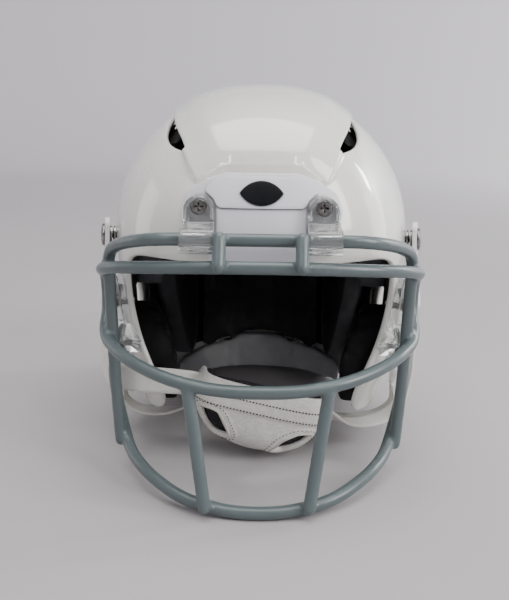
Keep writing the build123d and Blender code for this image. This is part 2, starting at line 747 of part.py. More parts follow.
# ---------------------------------------------------------------- write every piece
def main():
    save(make_shell(), "shell")
    save(make_front_bumper(), "front_bumper")
    save(plate_on_front(BADGE, 3.0 + FIT / 3, 4.1), "front_badge")
    save(make_front_emblem(), "front_emblem")
    save(make_rear_bumper(), "rear_bumper")

    side_clip = make_side_clip()
    for name, s in SIDES:
        save(make_front_clip(s), f"front_clip_{name}")
        save(side_clip if s > 0 else mirror(side_clip, about=Plane.YZ), f"side_clip_{name}")
    save(group([screw(o, d, 9.0, 9) for o, d in clip_screw_spots()]), "front_clip_screws")
    save(group([screw(o, d, 4.4, 9) for o, d in side_clip_spots()]), "side_clip_screws")
    save(group([screw(o, d, 3.6, 9) for o, d in rear_screw_spots()]), "rear_bumper_screws")
    nuts = [tee_nut(o, d, 7.1) for o, d in clip_screw_spots()]
    nuts += [tee_nut(o, d, 5.3) for o, d in side_clip_spots() + rear_screw_spots() + snap_spots()]
    save(group(nuts), "tee_nuts")

    save(wire(mirrored_run(BROW_BAR)), "mask_brow_bar")
    save(wire(mirrored_run(EYE_HOOP), closed=True), "mask_eye_hoop")
    save(make_chin_bar(), "mask_chin_bar")
    for name, s in SIDES:
        save(wire([(s * x, y, z) for x, y, z in UPRIGHT]), f"mask_upright_{name}")
        save(wire([(s * x, y, z) for x, y, z in LINK]), f"mask_link_{name}")

    save(pad(BROW_PAD, "y", -130, -56), "brow_pad")
    save(pad(CROWN_PAD, "z", 150, 260), "crown_pad")
    save(pad(REAR_PAD, "y", 60, 160), "rear_pad")
    save(pad(UPPER_REAR_PAD, "y", 60, 160), "upper_rear_pad")
    save(make_nape_pad(), "nape_pad")
    side_pad, neck_pad, jaw_pad = pad(SIDE_PAD, "x", 56, 130), pad(NECK_PAD, "x", 56, 130), make_jaw_pad()
    for label, right in (("side_pad", side_pad), ("neck_pad", neck_pad), ("jaw_pad", jaw_pad)):
        save(right, f"{label}_right")
        save(mirror(right, about=Plane.YZ), f"{label}_left")
    save(make_liner_carrier(), "liner_carrier")
    save(make_dampers(), "damper_discs")

    save(group([stud(o, d) for o, d in snap_spots()]), "snap_studs")
    for level_name, at, lean in (("high", SNAP_HIGH, HIGH_LEAN), ("low", SNAP_LOW, LOW_LEAN)):
        tab, button = make_tab(at, lean), cap(*side_spot(1, *at))
        for label, right in (("strap_tab", tab), ("snap_cap", button)):
            save(right, f"{label}_{level_name}_right")
            save(mirror(right, about=Plane.YZ), f"{label}_{level_name}_left")
    save(strap(HIGH_START[1], HIGH_RIGHT), "high_strap_right")
    save(strap(HIGH_START[-1], HIGH_LEFT), "high_strap_left")
    save(strap(LOW_START[1], LOW_RIGHT, 15), "low_strap_right")
    save(strap(LOW_START[-1], LOW_LEFT, 15), "low_strap_left")
    save(make_buckle(1, HIGH_RIGHT), "strap_buckle_right")
    save(make_buckle(-1, HIGH_LEFT), "strap_buckle_left")
    save(cup_layer(CUP_R, CUP_R - CUP_T), "chin_cup")
    save(cup_layer(CUP_R - CUP_T - FIT, CUP_R - CUP_T - CUP_PAD_T), "chin_cup_pad")


main()
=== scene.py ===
import math

import bmesh
import bpy
import numpy as np
from mathutils import Euler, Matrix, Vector, noise
from mathutils.geometry import delaunay_2d_cdt
from mathutils.kdtree import KDTree


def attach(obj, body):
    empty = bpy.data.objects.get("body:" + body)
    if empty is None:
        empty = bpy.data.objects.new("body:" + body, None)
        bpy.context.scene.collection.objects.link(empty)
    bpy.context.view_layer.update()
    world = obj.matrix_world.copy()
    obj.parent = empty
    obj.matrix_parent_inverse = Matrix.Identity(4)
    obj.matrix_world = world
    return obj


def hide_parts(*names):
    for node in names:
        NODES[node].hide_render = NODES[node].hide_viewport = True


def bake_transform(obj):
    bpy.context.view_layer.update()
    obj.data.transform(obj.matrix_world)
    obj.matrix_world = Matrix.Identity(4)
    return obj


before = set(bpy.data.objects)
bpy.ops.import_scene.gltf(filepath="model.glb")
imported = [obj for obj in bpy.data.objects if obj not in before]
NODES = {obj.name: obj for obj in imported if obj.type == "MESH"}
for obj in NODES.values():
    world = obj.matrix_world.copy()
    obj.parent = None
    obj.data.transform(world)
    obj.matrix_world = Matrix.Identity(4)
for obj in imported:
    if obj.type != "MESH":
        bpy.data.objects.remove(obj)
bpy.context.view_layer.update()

MM = 0.001

# ------------------------------------------------------------------ the shell's surface, in millimetres
HALF_WIDTH, BROW_Z, CROWN_RISE = 109.5, 140.0, 112.0
CENTRE_Y, FRONT_REACH, BACK_REACH = 20.0, 137.0, 135.0
PLAN_POWER, DOME_POWER = 2.2, 2.2
JAW_TUCK = (21.0, 44.0, 33.0)
SHELL_T, BAND_RISE = 4.0, 5.0
FACE_CUT = [
    (-175, -20), (-175, 145), (-88, 147), (-66, 140), (-61, 126), (-60, 92), (-66, 58),
    (-66, 42), (-60, 30), (-48, 25), (20, 24), (58, 14), (98, 0), (98, -20),
]
EAR_HOLE = [(8, 74), (28, 63), (50, 70), (56, 92), (44, 107), (16, 103)]
# The band's edge and its plateau's edge, right side: distance from the middle plane, and y.
BAND_EDGE = [
    (29, -125), (33, -107), (47.5, -88), (59, -52), (64, -15), (65, 25), (61, 75), (50, 120), (36, 175),
]
PLATEAU_EDGE = [
    (0.1, -107.5), (14, -106.5), (25, -102), (33, -94), (43, -75),
    (54, -30), (57, 25), (53, 75), (41, 120), (27, 175),
]
BUMPER = [(32, 147), (32, 160), (47, 166), (49.5, 178), (46, 188), (38, 193), (30, 197), (22, 200)]
VENT = [
    (46.5, -79), (53.5, -71.5), (60.8, -60.5), (64.6, -48), (65.6, -36), (65.2, -22), (64.0, -2),
    (60.8, -24), (58.4, -42), (55, -56), (51, -68),
]
EDGE_RUN = 2.6  # width of the band's steep side
BAND_FOOT = 178.0  # the band's creases start at this height
REAR_VENT = [(66, 40), (73, 46), (70, 74), (63, 92), (64, 66)]


def half_axes(z, grow=0.0):
    """Half width, front reach and back reach of the sections at heights z."""
    z = np.asarray(z, float)
    rise = np.clip((z - BROW_Z) / (CROWN_RISE + grow), 0, 1)
    share = (1 - rise**DOME_POWER) ** (1 / DOME_POWER)
    drop = np.clip((BROW_Z - z) / BROW_Z, 0, None)
    above = z >= BROW_Z
    width = np.where(above, (HALF_WIDTH + grow) * share, HALF_WIDTH + grow - JAW_TUCK[0] * drop**2)
    front = np.where(above, (FRONT_REACH + grow) * share, FRONT_REACH + grow - JAW_TUCK[1] * drop**1.4)
    back = np.where(above, (BACK_REACH + grow) * share, BACK_REACH + grow - JAW_TUCK[2] * drop**2)
    return width, front, back


def level(p, grow=0.0):
    """1 on the grown surface, less inside it."""
    x, y, z = p[..., 0], p[..., 1], p[..., 2]
    width, front, back = half_axes(np.minimum(z, BROW_Z), grow)
    reach = np.where(y < CENTRE_Y, front, back)
    plan = (np.abs(x) / width) ** PLAN_POWER + (np.abs(y - CENTRE_Y) / reach) ** PLAN_POWER
    rise = np.clip((z - BROW_Z) / (CROWN_RISE + grow), 0, None)
    return np.where(z < BROW_Z, plan, plan ** (DOME_POWER / PLAN_POWER) + rise**DOME_POWER)


STEP = 0.8  # reach of the differences that give the level's slope


def slope_at(p, grow=0.0):
    """How fast the level grows along each axis at points p."""
    out = np.zeros_like(p)
    for axis, step in enumerate(np.eye(3) * STEP):
        out[..., axis] = level(p + step, grow) - level(p - step, grow)
    return out / (2 * STEP)


def normals_at(p, grow=0.0):
    """Unit outward normals of the surface near points p."""
    out = slope_at(p, grow)
    return out / np.linalg.norm(out, axis=-1, keepdims=True)


def section(z, turn, grow=0.0):
    """Points of the surface at heights z and plan angles turn."""
    width, front, back = half_axes(z, grow)
    c, s = np.cos(turn), np.sin(turn)
    reach = np.where(s > 0, back, front)
    x = np.sign(c) * width * np.abs(c) ** (2 / PLAN_POWER)
    y = CENTRE_Y + np.sign(s) * reach * np.abs(s) ** (2 / PLAN_POWER)
    return np.stack([x, y, np.broadcast_to(z, x.shape)], -1)


# A table of arc length down the side of the dome, from the crown to the table top.
_dome_z = BROW_Z + CROWN_RISE * np.cos(np.linspace(0, math.pi / 2, 400)) ** (2 / DOME_POWER)
SIDE_Z = np.concatenate([_dome_z, np.linspace(BROW_Z, -12, 160)[1:]])
SIDE_X = half_axes(SIDE_Z)[0]
SIDE_RUN = np.concatenate([[0], np.cumsum(np.hypot(np.diff(SIDE_Z), np.diff(SIDE_X)))])


def to_disc(p):
    """Where points of the surface lie on a flat disc round the crown."""
    width, front, back = half_axes(p[:, 2])
    dy = p[:, 1] - CENTRE_Y
    reach = np.where(dy < 0, front, back)
    c = np.sign(p[:, 0]) * (np.abs(p[:, 0]) / np.maximum(width, 1e-6)) ** (PLAN_POWER / 2)
    s = np.sign(dy) * (np.abs(dy) / np.maximum(reach, 1e-6)) ** (PLAN_POWER / 2)
    turn = np.arctan2(s, c)
    rho = np.interp(-p[:, 2], -SIDE_Z, SIDE_RUN)
    return np.stack([rho * np.cos(turn), rho * np.sin(turn)], -1)


def from_disc(q):
    """Points of the surface from their places on the disc."""
    rho = np.hypot(q[:, 0], q[:, 1])
    z = np.interp(rho, SIDE_RUN, SIDE_Z)
    return section(z, np.arctan2(q[:, 1], q[:, 0]))


# ------------------------------------------------------------------ outlines
def resample(points, step, closed=True):
    pts = np.asarray(points, float)
    if closed:
        pts = np.vstack([pts, pts[:1]])
    run = np.concatenate([[0], np.cumsum(np.linalg.norm(np.diff(pts, axis=0), axis=1))])
    n = max(int(round(run[-1] / step)), 6)
    t = np.linspace(0, run[-1], n + 1)
    out = np.stack([np.interp(t, run, pts[:, i]) for i in range(pts.shape[1])], -1)
    return out[:-1] if closed else out


def rounded(points, times=3, closed=True, keep=0.25):
    """Corner cutting: a smooth outline from a few corners."""
    pts = np.asarray(points, float)
    for _ in range(times):
        nxt = np.roll(pts, -1, 0) if closed else pts[1:]
        here = pts if closed else pts[:-1]
        a, b = here * (1 - keep) + nxt * keep, here * keep + nxt * (1 - keep)
        cut = np.empty((len(a) * 2, pts.shape[1]))
        cut[0::2], cut[1::2] = a, b
        pts = cut if closed else np.vstack([pts[:1], cut, pts[-1:]])
    return pts


def offset(points, by):
    """A closed plane outline moved outwards by a distance."""
    pts = np.asarray(points, float)
    area = np.sum(pts[:, 0] * np.roll(pts[:, 1], -1) - np.roll(pts[:, 0], -1) * pts[:, 1])
    ahead = np.roll(pts, -1, 0) - np.roll(pts, 1, 0)
    n = np.stack([ahead[:, 1], -ahead[:, 0]], -1)
    n /= np.linalg.norm(n, axis=1, keepdims=True) + 1e-9
    return pts + n * by * (1 if area > 0 else -1)


def inside(q, loop):
    """Which points q are inside a closed plane loop."""
    hit = np.zeros(len(q), bool)
    x, y = q[:, 0], q[:, 1]
    for (x0, y0), (x1, y1) in zip(loop, np.roll(loop, -1, 0)):
        if y0 == y1:
            continue
        cross = (y0 > y) != (y1 > y)
        hit ^= cross & (x < (x1 - x0) * (y - y0) / (y1 - y0) + x0)
    return hit


def distance(q, line, closed=True):
    """Distance of plane points to a polyline."""
    a = np.asarray(line, float)
    b = np.roll(a, -1, 0) if closed else a[1:]
    a = a if closed else a[:-1]
    best = np.full(len(q), 1e9)
    for p0, p1 in zip(a, b):
        d = p1 - p0
        t = np.clip(((q - p0) @ d) / max(d @ d, 1e-9), 0, 1)
        best = np.minimum(best, np.linalg.norm(q - (p0 + t[:, None] * d), axis=1))
    return best


# ------------------------------------------------------------------ mesh making
def link(name, mesh, body, material=None, smooth=True):
    obj = bpy.data.objects.new(name, mesh)
    bpy.context.scene.collection.objects.link(obj)
    if smooth:
        mesh.shade_smooth()
    if material:
        mesh.materials.append(material)
    if body:
        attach(obj, body)
    return obj


def mesh_from(name, verts_mm, faces):
    mesh = bpy.data.meshes.new(name)
    mesh.from_pydata((np.asarray(verts_mm) * MM).tolist(), [], [tuple(int(i) for i in f) for f in faces])
    mesh.update()
    return mesh


def skin(name, outer_loop, holes, inner_pts, place, thickness, lip, refine=1):
    """A wall with rounded edges. Loops and points are on a plane; place gives outer points and normals,
    and thickness gives the wall there. The lip stands out past the loops by its own width."""
    loops = [outer_loop] + holes
    base = np.vstack(loops + [inner_pts])
    edges, start = [], 0
    for loop in loops:
        n = len(loop)
        edges += [(start + i, start + (i + 1) % n) for i in range(n)]
        start += n
    got = delaunay_2d_cdt([Vector(p) for p in base.tolist()], edges, [], 0, 1e-6)
    q = np.array([list(v) for v in got[0]])
    tris = np.array([f for f in got[2] if len(f) == 3])
    mid = q[tris].mean(1)
    keep = inside(mid, outer_loop)
    for hole in holes:
        keep &= ~inside(mid, hole)
    tris = tris[keep]
    cross = lambda t: np.cross(q[t[:, 1]] - q[t[:, 0]], q[t[:, 2]] - q[t[:, 0]])
    flip = cross(tris) < 0
    tris[flip] = tris[flip][:, ::-1]
    for _ in range(refine):
        e = np.sort(np.vstack([tris[:, [0, 1]], tris[:, [1, 2]], tris[:, [2, 0]]]), 1)
        uniq, back = np.unique(e, axis=0, return_inverse=True)
        back = back.reshape(-1)
        m = len(tris)
        new = len(q) + back
        q = np.vstack([q, q[uniq].mean(1)])
        ab, bc, ca = new[:m], new[m:2 * m], new[2 * m:]
        tris = np.vstack([
            np.stack([tris[:, 0], ab, ca], 1), np.stack([ab, tris[:, 1], bc], 1),
            np.stack([ca, bc, tris[:, 2]], 1), np.stack([ab, bc, ca], 1),
        ])
    used = np.unique(tris)
    renum = np.full(len(q), -1)
    renum[used] = np.arange(len(used))
    q, tris = q[used], renum[tris]
    outer, normal = place(q)
    wall = thickness(q)[:, None]
    inner = outer - normal * wall
    # which way round the plane is seen from outside
    n_face = np.cross(outer[tris[0, 1]] - outer[tris[0, 0]], outer[tris[0, 2]] - outer[tris[0, 0]])
    if n_face @ normal[tris[0, 0]] < 0:
        tris = tris[:, ::-1]
    n = len(q)
    verts = [outer, inner]
    faces = [tris, tris[:, ::-1] + n]
    half = np.vstack([tris[:, [0, 1]], tris[:, [1, 2]], tris[:, [2, 0]]])
    code = {(int(a), int(b)) for a, b in half}
    border = {a: b for a, b in code if (b, a) not in code}
    quads, count = [], 2 * n
    while border:
        first = next(iter(border))
        ring, at = [], first
        while at in border:
            ring.append(at)
            at = border.pop(at)
        ring = np.array(ring)
        along = np.roll(outer[ring], -1, 0) - np.roll(outer[ring], 1, 0)
        side = np.cross(along, normal[ring])
        side /= np.linalg.norm(side, axis=1, keepdims=True) + 1e-9
        centre = (outer[ring] + inner[ring]) / 2
        rows = [ring]
        for deg in (22, 50, 78, 102, 130, 158):
            a = math.radians(deg)
            verts.append(centre + normal[ring] * wall[ring] / 2 * math.cos(a) + side * lip * math.sin(a))
            rows.append(np.arange(count, count + len(ring)))
            count += len(ring)
        rows.append(ring + n)
        for r0, r1 in zip(rows[:-1], rows[1:]):
            quads.append(np.stack([np.roll(r0, -1), r0, r1, np.roll(r1, -1)], 1))
    mesh = mesh_from(name, np.vstack(verts), [*faces[0], *faces[1], *np.vstack(quads)])
    return mesh


def outward(mesh):
    """Turns every face of a closed mesh outwards."""
    bm = bmesh.new()
    bm.from_mesh(mesh)
    bmesh.ops.recalc_face_normals(bm, faces=bm.faces)
    bm.to_mesh(mesh)
    bm.free()
    return mesh


def evaluated(obj):
    """The mesh of an object with its modifiers applied."""
    graph = bpy.context.evaluated_depsgraph_get()
    return bpy.data.meshes.new_from_object(obj.evaluated_get(graph))


def remeshed(name, nodes, voxel, smooth=4, shrink=0.0, factor=0.5):
    """One mesh from CAD nodes, with every edge and joint softened."""
    bm = bmesh.new()
    for node in nodes:
        bm.from_mesh(NODES[node].data)
    bmesh.ops.remove_doubles(bm, verts=bm.verts, dist=1e-6)
    mesh = bpy.data.meshes.new(name)
    bm.to_mesh(mesh)
    bm.free()
    obj = bpy.data.objects.new(name, mesh)
    bpy.context.scene.collection.objects.link(obj)
    mod = obj.modifiers.new("remesh", "REMESH")
    mod.mode = "VOXEL"
    mod.voxel_size = voxel * MM
    if smooth:
        soft = obj.modifiers.new("soft", "SMOOTH")
        soft.factor, soft.iterations = factor, smooth
    if shrink:
        push = obj.modifiers.new("push", "DISPLACE")
        push.strength, push.mid_level = -shrink * MM, 0.0
    bpy.context.view_layer.update()
    out = evaluated(obj)
    bpy.data.objects.remove(obj)
    out.name = name
    return out


def tube(name, points_mm, radius, body, material, closed=True, resolution=4):
    """A round welt or thread through points."""
    curve = bpy.data.curves.new(name, "CURVE")
    curve.dimensions = "3D"
    curve.bevel_depth = radius * MM
    curve.bevel_resolution = resolution
    curve.resolution_u = 2
    line = curve.splines.new("POLY")
    line.points.add(len(points_mm) - 1)
    for p, at in zip(line.points, points_mm):
        p.co = (*(np.asarray(at) * MM), 1)
    line.use_cyclic_u = closed
    curve.use_fill_caps = not closed
    obj = bpy.data.objects.new(name + "_path", curve)
    bpy.context.scene.collection.objects.link(obj)
    bpy.context.view_layer.update()
    mesh = evaluated(obj)
    bpy.data.objects.remove(obj)
    mesh.name = name
    return link(name, mesh, body, material)


# ------------------------------------------------------------------ materials
def srgb(r, g, b):
    f = lambda v: v / 12.92 if v <= 0.04045 else ((v + 0.055) / 1.055) ** 2.4
    return (f(r / 255), f(g / 255), f(b / 255), 1.0)


MATS = {}


class Mat:
    """A node material with short helpers."""

    def __init__(self, name):
        MATS[name] = bpy.data.materials.new(name)
        MATS[name].use_nodes = True
        self.t = MATS[name].node_tree
        self.t.nodes.clear()
        self.out = self.t.nodes.new("ShaderNodeOutputMaterial")
        self.b = self.t.nodes.new("ShaderNodeBsdfPrincipled")
        self.t.links.new(self.b.outputs[0], self.out.inputs[0])
        self.coord = self.t.nodes.new("ShaderNodeTexCoord")

    def link(self, a, b):
        self.t.links.new(a, b)

    def set(self, **kw):
        for k, v in kw.items():
            self.b.inputs[k.replace("_", " ")].default_value = v
        return self

    def node(self, kind, **kw):
        n = self.t.nodes.new("ShaderNode" + kind)
        for k, v in kw.items():
            if k in n.inputs:
                n.inputs[k].default_value = v
            else:
                setattr(n, k, v)
        return n

    def noise(self, scale, detail=4.0, rough=0.6, stretch=None):
        n = self.node("TexNoise", Scale=scale, Detail=detail, Roughness=rough)
        source = self.coord.outputs["Object"]
        if stretch:
            mapping = self.t.nodes.new("ShaderNodeMapping")
            mapping.inputs["Scale"].default_value = stretch
            self.link(source, mapping.inputs[0])
            source = mapping.outputs[0]
        self.link(source, n.inputs["Vector"])
        return n.outputs["Fac"]

    def cells(self, scale):
        n = self.node("TexVoronoi", Scale=scale)
        self.link(self.coord.outputs["Object"], n.inputs["Vector"])
        return n.outputs["Distance"]

    def ramp(self, src, stops):
        n = self.node("ValToRGB")
        r = n.color_ramp
        while len(r.elements) < len(stops):
            r.elements.new(0.5)
        for e, (at, col) in zip(r.elements, stops):
            e.position = at
            e.color = col if hasattr(col, "__len__") else (col, col, col, 1)
        self.link(src, n.inputs[0])
        return n.outputs[0]

    def span(self, src, low, high, a=0.0, b=1.0):
        n = self.node("MapRange")
        for i, v in zip(range(1, 5), (low, high, a, b)):
            n.inputs[i].default_value = v
        self.link(src, n.inputs[0])
        return n.outputs[0]

    def math(self, op, a, b=None):
        n = self.node("Math", operation=op)
        for i, v in enumerate((a, b)):
            if v is None:
                continue
            if isinstance(v, (int, float)):
                n.inputs[i].default_value = v
            else:
                self.link(v, n.inputs[i])
        return n.outputs[0]

    def mix(self, fac, a, b, mode="MIX"):
        n = self.node("Mix", data_type="RGBA", blend_type=mode)
        for i, v in ((0, fac), (6, a), (7, b)):
            if isinstance(v, (int, float, tuple)):
                n.inputs[i].default_value = v
            else:
                self.link(v, n.inputs[i])
        return n.outputs[2]

    def bump(self, height, strength, dist=0.001):
        n = self.node("Bump", Strength=strength, Distance=dist)
        self.link(height, n.inputs["Height"])
        if self.b.inputs["Normal"].is_linked:
            self.link(self.b.inputs["Normal"].links[0].from_socket, n.inputs["Normal"])
        self.link(n.outputs[0], self.b.inputs["Normal"])
        return self

    def tint(self, scale, detail, low, high):
        """Clouds between two screen colours."""
        return self.ramp(self.noise(scale, detail), [(0.3, srgb(*low)), (0.7, srgb(*high))])

    def matt(self, scale, detail, low, high):
        """Clouds of roughness."""
        return self.rough(self.span(self.noise(scale, detail), 0.3, 0.7, low, high))

    def color(self, src):
        self.link(src, self.b.inputs["Base Color"])
        return self

    def rough(self, src):
        self.link(src, self.b.inputs["Roughness"])
        return self


def make_materials():
    m = Mat("shell_white").set(Coat_Weight=1.0, Coat_Roughness=0.03, IOR=1.5)
    cloud = m.noise(9, 3, 0.5)
    m.color(m.ramp(cloud, [(0.3, srgb(226, 226, 219)), (0.7, srgb(234, 234, 229))]))
    smudge = m.noise(38, 6, 0.65)
    m.rough(m.span(smudge, 0.35, 0.7, 0.16, 0.3))
    m.bump(m.noise(420, 2, 0.5), 0.05, 0.0004)
    m.bump(m.noise(26, 2, 0.4), 0.05, 0.002)

    m = Mat("bumper_white").set(IOR=1.46, Coat_Weight=0.1, Coat_Roughness=0.3)
    base = m.tint(30, 3, (212, 212, 219), (220, 220, 226))
    # painted shade: the colour is darkened towards srgb(120, 120, 124) in crevices and seams, read from
    # ambient occlusion
    painted_recess_shade = m.node("AmbientOcclusion", Distance=0.0022)
    m.color(m.mix(m.span(painted_recess_shade.outputs["AO"], 0.45, 0.9), srgb(120, 120, 124), base))
    m.matt(90, 4, 0.34, 0.46)
    m.bump(m.noise(900, 2), 0.1, 0.0003)

    m = Mat("emblem_dark").set(IOR=1.46, Specular_IOR_Level=0.18)
    m.color(m.tint(60, 3, (9, 10, 14), (15, 16, 21)))
    m.matt(200, 3, 0.35, 0.5)
    m.bump(m.noise(1200, 2), 0.1, 0.0003)

    m = Mat("clear_plastic").set(IOR=1.49, Transmission_Weight=0.93, Coat_Weight=0.8, Coat_Roughness=0.02)
    m.color(m.tint(70, 3, (232, 236, 236), (248, 250, 250)))
    m.rough(m.span(m.noise(140, 5), 0.35, 0.7, 0.02, 0.1))
    m.bump(m.noise(110, 3), 0.3, 0.0016)

    m = Mat("steel").set(Metallic=1.0)
    base = m.ramp(m.noise(300, 4), [(0.35, srgb(112, 110, 106)), (0.7, srgb(168, 166, 162))])
    # painted shade: the steel is darkened almost to black in recesses such as the screw slots, read from
    # ambient occlusion
    painted_recess_shade = m.node("AmbientOcclusion", Distance=0.0016)
    m.color(m.mix(m.span(painted_recess_shade.outputs["AO"], 0.35, 0.85), srgb(14, 14, 14), base))
    m.rough(m.span(m.noise(240, 4, stretch=(1, 1, 6)), 0.3, 0.7, 0.14, 0.34))
    m.bump(m.noise(700, 2), 0.1, 0.0003)

    m = Mat("mask_grey").set(IOR=1.5, Coat_Weight=0.3, Coat_Roughness=0.22)
    cloud = m.noise(32, 2, 0.5)
    base = m.ramp(cloud, [(0.3, srgb(82, 94, 96)), (0.7, srgb(87, 99, 101))])
    speck = m.ramp(m.noise(1500, 3, 0.7), [(0.66, (0, 0, 0, 1)), (0.76, (1, 1, 1, 1))])
    base = m.mix(speck, base, srgb(92, 104, 106))
    m.color(base)
    m.matt(120, 2, 0.31, 0.36)
    m.bump(m.noise(110, 3, 0.5), 0.02, 0.0012)
    m.bump(m.noise(600, 2), 0.015, 0.0004)

    # the second pad material is a darker copy of the first for the jaw pads: painted shade, standing in for
    # the shade the jaw pads sit in
    for name, low, high, rim, gloss in (("pad_black", 14, 24, 50, 0.4), ("pad_black_shaded", 4, 8, 22, 0.25)):
        m = Mat(name).set(Sheen_Weight=0.05, Sheen_Roughness=0.4, Specular_IOR_Level=gloss)
        face = m.ramp(m.noise(60, 5), [(0.3, srgb(low, low, low + 2)), (0.75, srgb(high, high, high + 3))])
        light = srgb(rim + 14, rim + 16, rim + 19)
        edge = m.ramp(m.noise(90, 4), [(0.3, srgb(rim, rim + 2, rim + 5)), (0.7, light)])
        where = m.node("Attribute", attribute_name="side", attribute_type="GEOMETRY")
        m.color(m.mix(where.outputs["Fac"], face, edge))
        m.matt(200, 4, 0.5, 0.7)
        cell = m.cells(520.0)
        m.bump(cell, 0.35, 0.0006)
        m.bump(m.noise(45, 4), 0.2, 0.002)

    m = Mat("nape_grey").set(IOR=1.45)
    m.color(m.tint(60, 4, (172, 174, 176), (186, 188, 190)))
    m.matt(120, 4, 0.32, 0.48)
    m.bump(m.noise(700, 3), 0.15, 0.0004)

    m = Mat("damper_rubber")
    m.color(m.tint(90, 4, (38, 38, 42), (52, 52, 56)))
    m.matt(200, 4, 0.5, 0.65)
    m.bump(m.noise(500, 3), 0.2, 0.0005)

    m = Mat("strap_white").set(Sheen_Weight=0.2)
    uv = m.node("UVMap", uv_map="run")
    wave = m.node("TexWave", wave_type="BANDS", bands_direction="Y", Scale=0.32, Distortion=0.4)
    wave.inputs["Detail"].default_value = 1.0
    rib = m.node("TexWave", wave_type="BANDS", bands_direction="X", Scale=0.22, Distortion=0.3)
    for w in (wave, rib):
        m.link(uv.outputs[0], w.inputs["Vector"])
    weave = m.math("MULTIPLY", wave.outputs["Fac"], rib.outputs["Fac"])
    dirt = m.noise(50, 5)
    base = m.ramp(dirt, [(0.3, srgb(214, 212, 205)), (0.7, srgb(230, 229, 224))])
    m.color(m.mix(m.span(weave, 0, 1, 0.0, 0.35), base, srgb(238, 237, 232)))
    m.matt(300, 3, 0.55, 0.75)
    m.bump(weave, 0.5, 0.0005)
    m.bump(m.noise(300, 4), 0.15, 0.0005)

    m = Mat("tab_white").set(IOR=1.46)
    m.color(m.tint(50, 4, (222, 222, 224), (234, 234, 236)))
    m.matt(150, 4, 0.32, 0.45)
    m.bump(m.noise(700, 2), 0.1, 0.0003)

    m = Mat("cup_white").set(IOR=1.45, Sheen_Weight=0.05)
    base = m.tint(35, 5, (214, 213, 208), (230, 229, 226))
    cell = m.cells(650.0)
    # painted shade: thin wavy lines are painted darker over the cover, standing in for the shade of fine
    # creases the mesh does not have
    lines = m.noise(130, 8, 0.7, stretch=(1, 1, 2.4))
    painted_crease_shade = m.ramp(lines, [(0.44, (1, 1, 1, 1)), (0.5, (0.86, 0.85, 0.82, 1)), (0.56, (1, 1, 1, 1))])
    m.color(m.mix(1.0, base, painted_crease_shade, "MULTIPLY"))
    m.matt(160, 4, 0.38, 0.55)
    m.bump(cell, 0.22, 0.0006)
    m.bump(m.noise(70, 5), 0.25, 0.0018)

    m = Mat("cup_edge").set(IOR=1.45)
    m.color(m.tint(120, 4, (188, 184, 172), (214, 212, 203)))
    m.matt(200, 4, 0.45, 0.65)
    m.bump(m.noise(500, 4), 0.3, 0.0005)

    m = Mat("foam_black").set(IOR=1.4)
    cell = m.cells(750.0)
    # painted shade: the pits that the bump sinks at the cells are also painted darker in colour
    m.color(m.ramp(cell, [(0.1, srgb(12, 12, 13)), (0.6, srgb(44, 44, 48))]))
    m.matt(200, 4, 0.75, 0.9)
    m.bump(cell, 0.8, 0.0012)

    m = Mat("thread_grey")
    m.color(m.tint(900, 3, (52, 50, 48), (84, 81, 78)))
    m.set(Roughness=0.7)
    m.bump(m.noise(2500, 2), 0.3, 0.0003)

    m = Mat("backdrop")
    place = m.node("SeparateXYZ")
    m.link(m.coord.outputs["Object"], place.inputs[0])
    flat = m.math("ADD", m.math("POWER", place.outputs[0], 2.0), m.math("POWER", place.outputs[1], 2.0))
    # painted light: the cove is painted darker near the middle of the floor and lighter towards and up the
    # wall, standing in for light the wall does not get
    reach = m.span(m.math("SQRT", flat), 0.4, 3.4)
    stops = [(0.1, srgb(168, 165, 167)), (0.35, srgb(184, 181, 184)), (0.8, srgb(215, 212, 216))]
    base = m.ramp(reach, stops)
    m.color(m.mix(m.span(m.noise(0.7, 2), 0.3, 0.7, 0.0, 0.05), base, srgb(214, 210, 214)))
    m.set(Roughness=0.85)
    m.bump(m.noise(160, 2), 0.02, 0.0005)


make_materials()


def dress(node, material, bevel=0.0, segments=2, angle=35):
    """Gives a CAD node its finish, and softened edges where asked."""
    obj = NODES[node]
    obj.data.materials.clear()
    obj.data.materials.append(MATS[material])
    obj.data.shade_smooth()
    if bevel:
        weld = obj.modifiers.new("weld", "WELD")
        weld.merge_threshold = 1e-6
        mod = obj.modifiers.new("bevel", "BEVEL")
        mod.width, mod.segments = bevel * MM, segments
        mod.limit_method, mod.angle_limit = "ANGLE", math.radians(angle)
        mod.harden_normals = False
    split = obj.modifiers.new("edges", "EDGE_SPLIT")
    split.split_angle = math.radians(40)
    return obj


# ------------------------------------------------------------------ shell
def soft_step(d, w):
    t = np.clip(d / w, 0, 1)
    return t * t * (3 - 2 * t)


def band_height(p):
    """How far the crown band stands proud at surface points p: crisp sides, and a soft plateau within."""
    edge = rounded(BAND_EDGE, 3, closed=False)
    plateau = rounded(PLATEAU_EDGE, 3, closed=False)
    half = np.interp(p[:, 1], edge[:, 1], edge[:, 0])
    flat = np.interp(p[:, 1], plateau[:, 1], plateau[:, 0], left=0)
    bumper = np.array(BUMPER + [(-x, z) for x, z in reversed(BUMPER)], float)
    q = p[:, [0, 2]]
    clear = np.where(inside(q, bumper), 0.0, distance(q, bumper))
    clear = np.where(p[:, 1] > -60, 40.0, clear)
    low = p[:, 2] - 161.0
    behind = soft_step(p[:, 2] - (218 - (p[:, 1] + 150) * 100 / 325), 14)
    front = 0.4 * soft_step(clear - 0.4, 1.6) + 0.6 * soft_step(clear - 0.5, 12)
    front *= soft_step(low, 9)
    ends = np.where(p[:, 1] < 0, front, behind)
    step = soft_step(half - np.abs(p[:, 0]), EDGE_RUN)
    rise = soft_step(flat - np.abs(p[:, 0]) + 6, 20.0)
    return (0.6 * step + 0.4 * rise) * BAND_RISE * ends


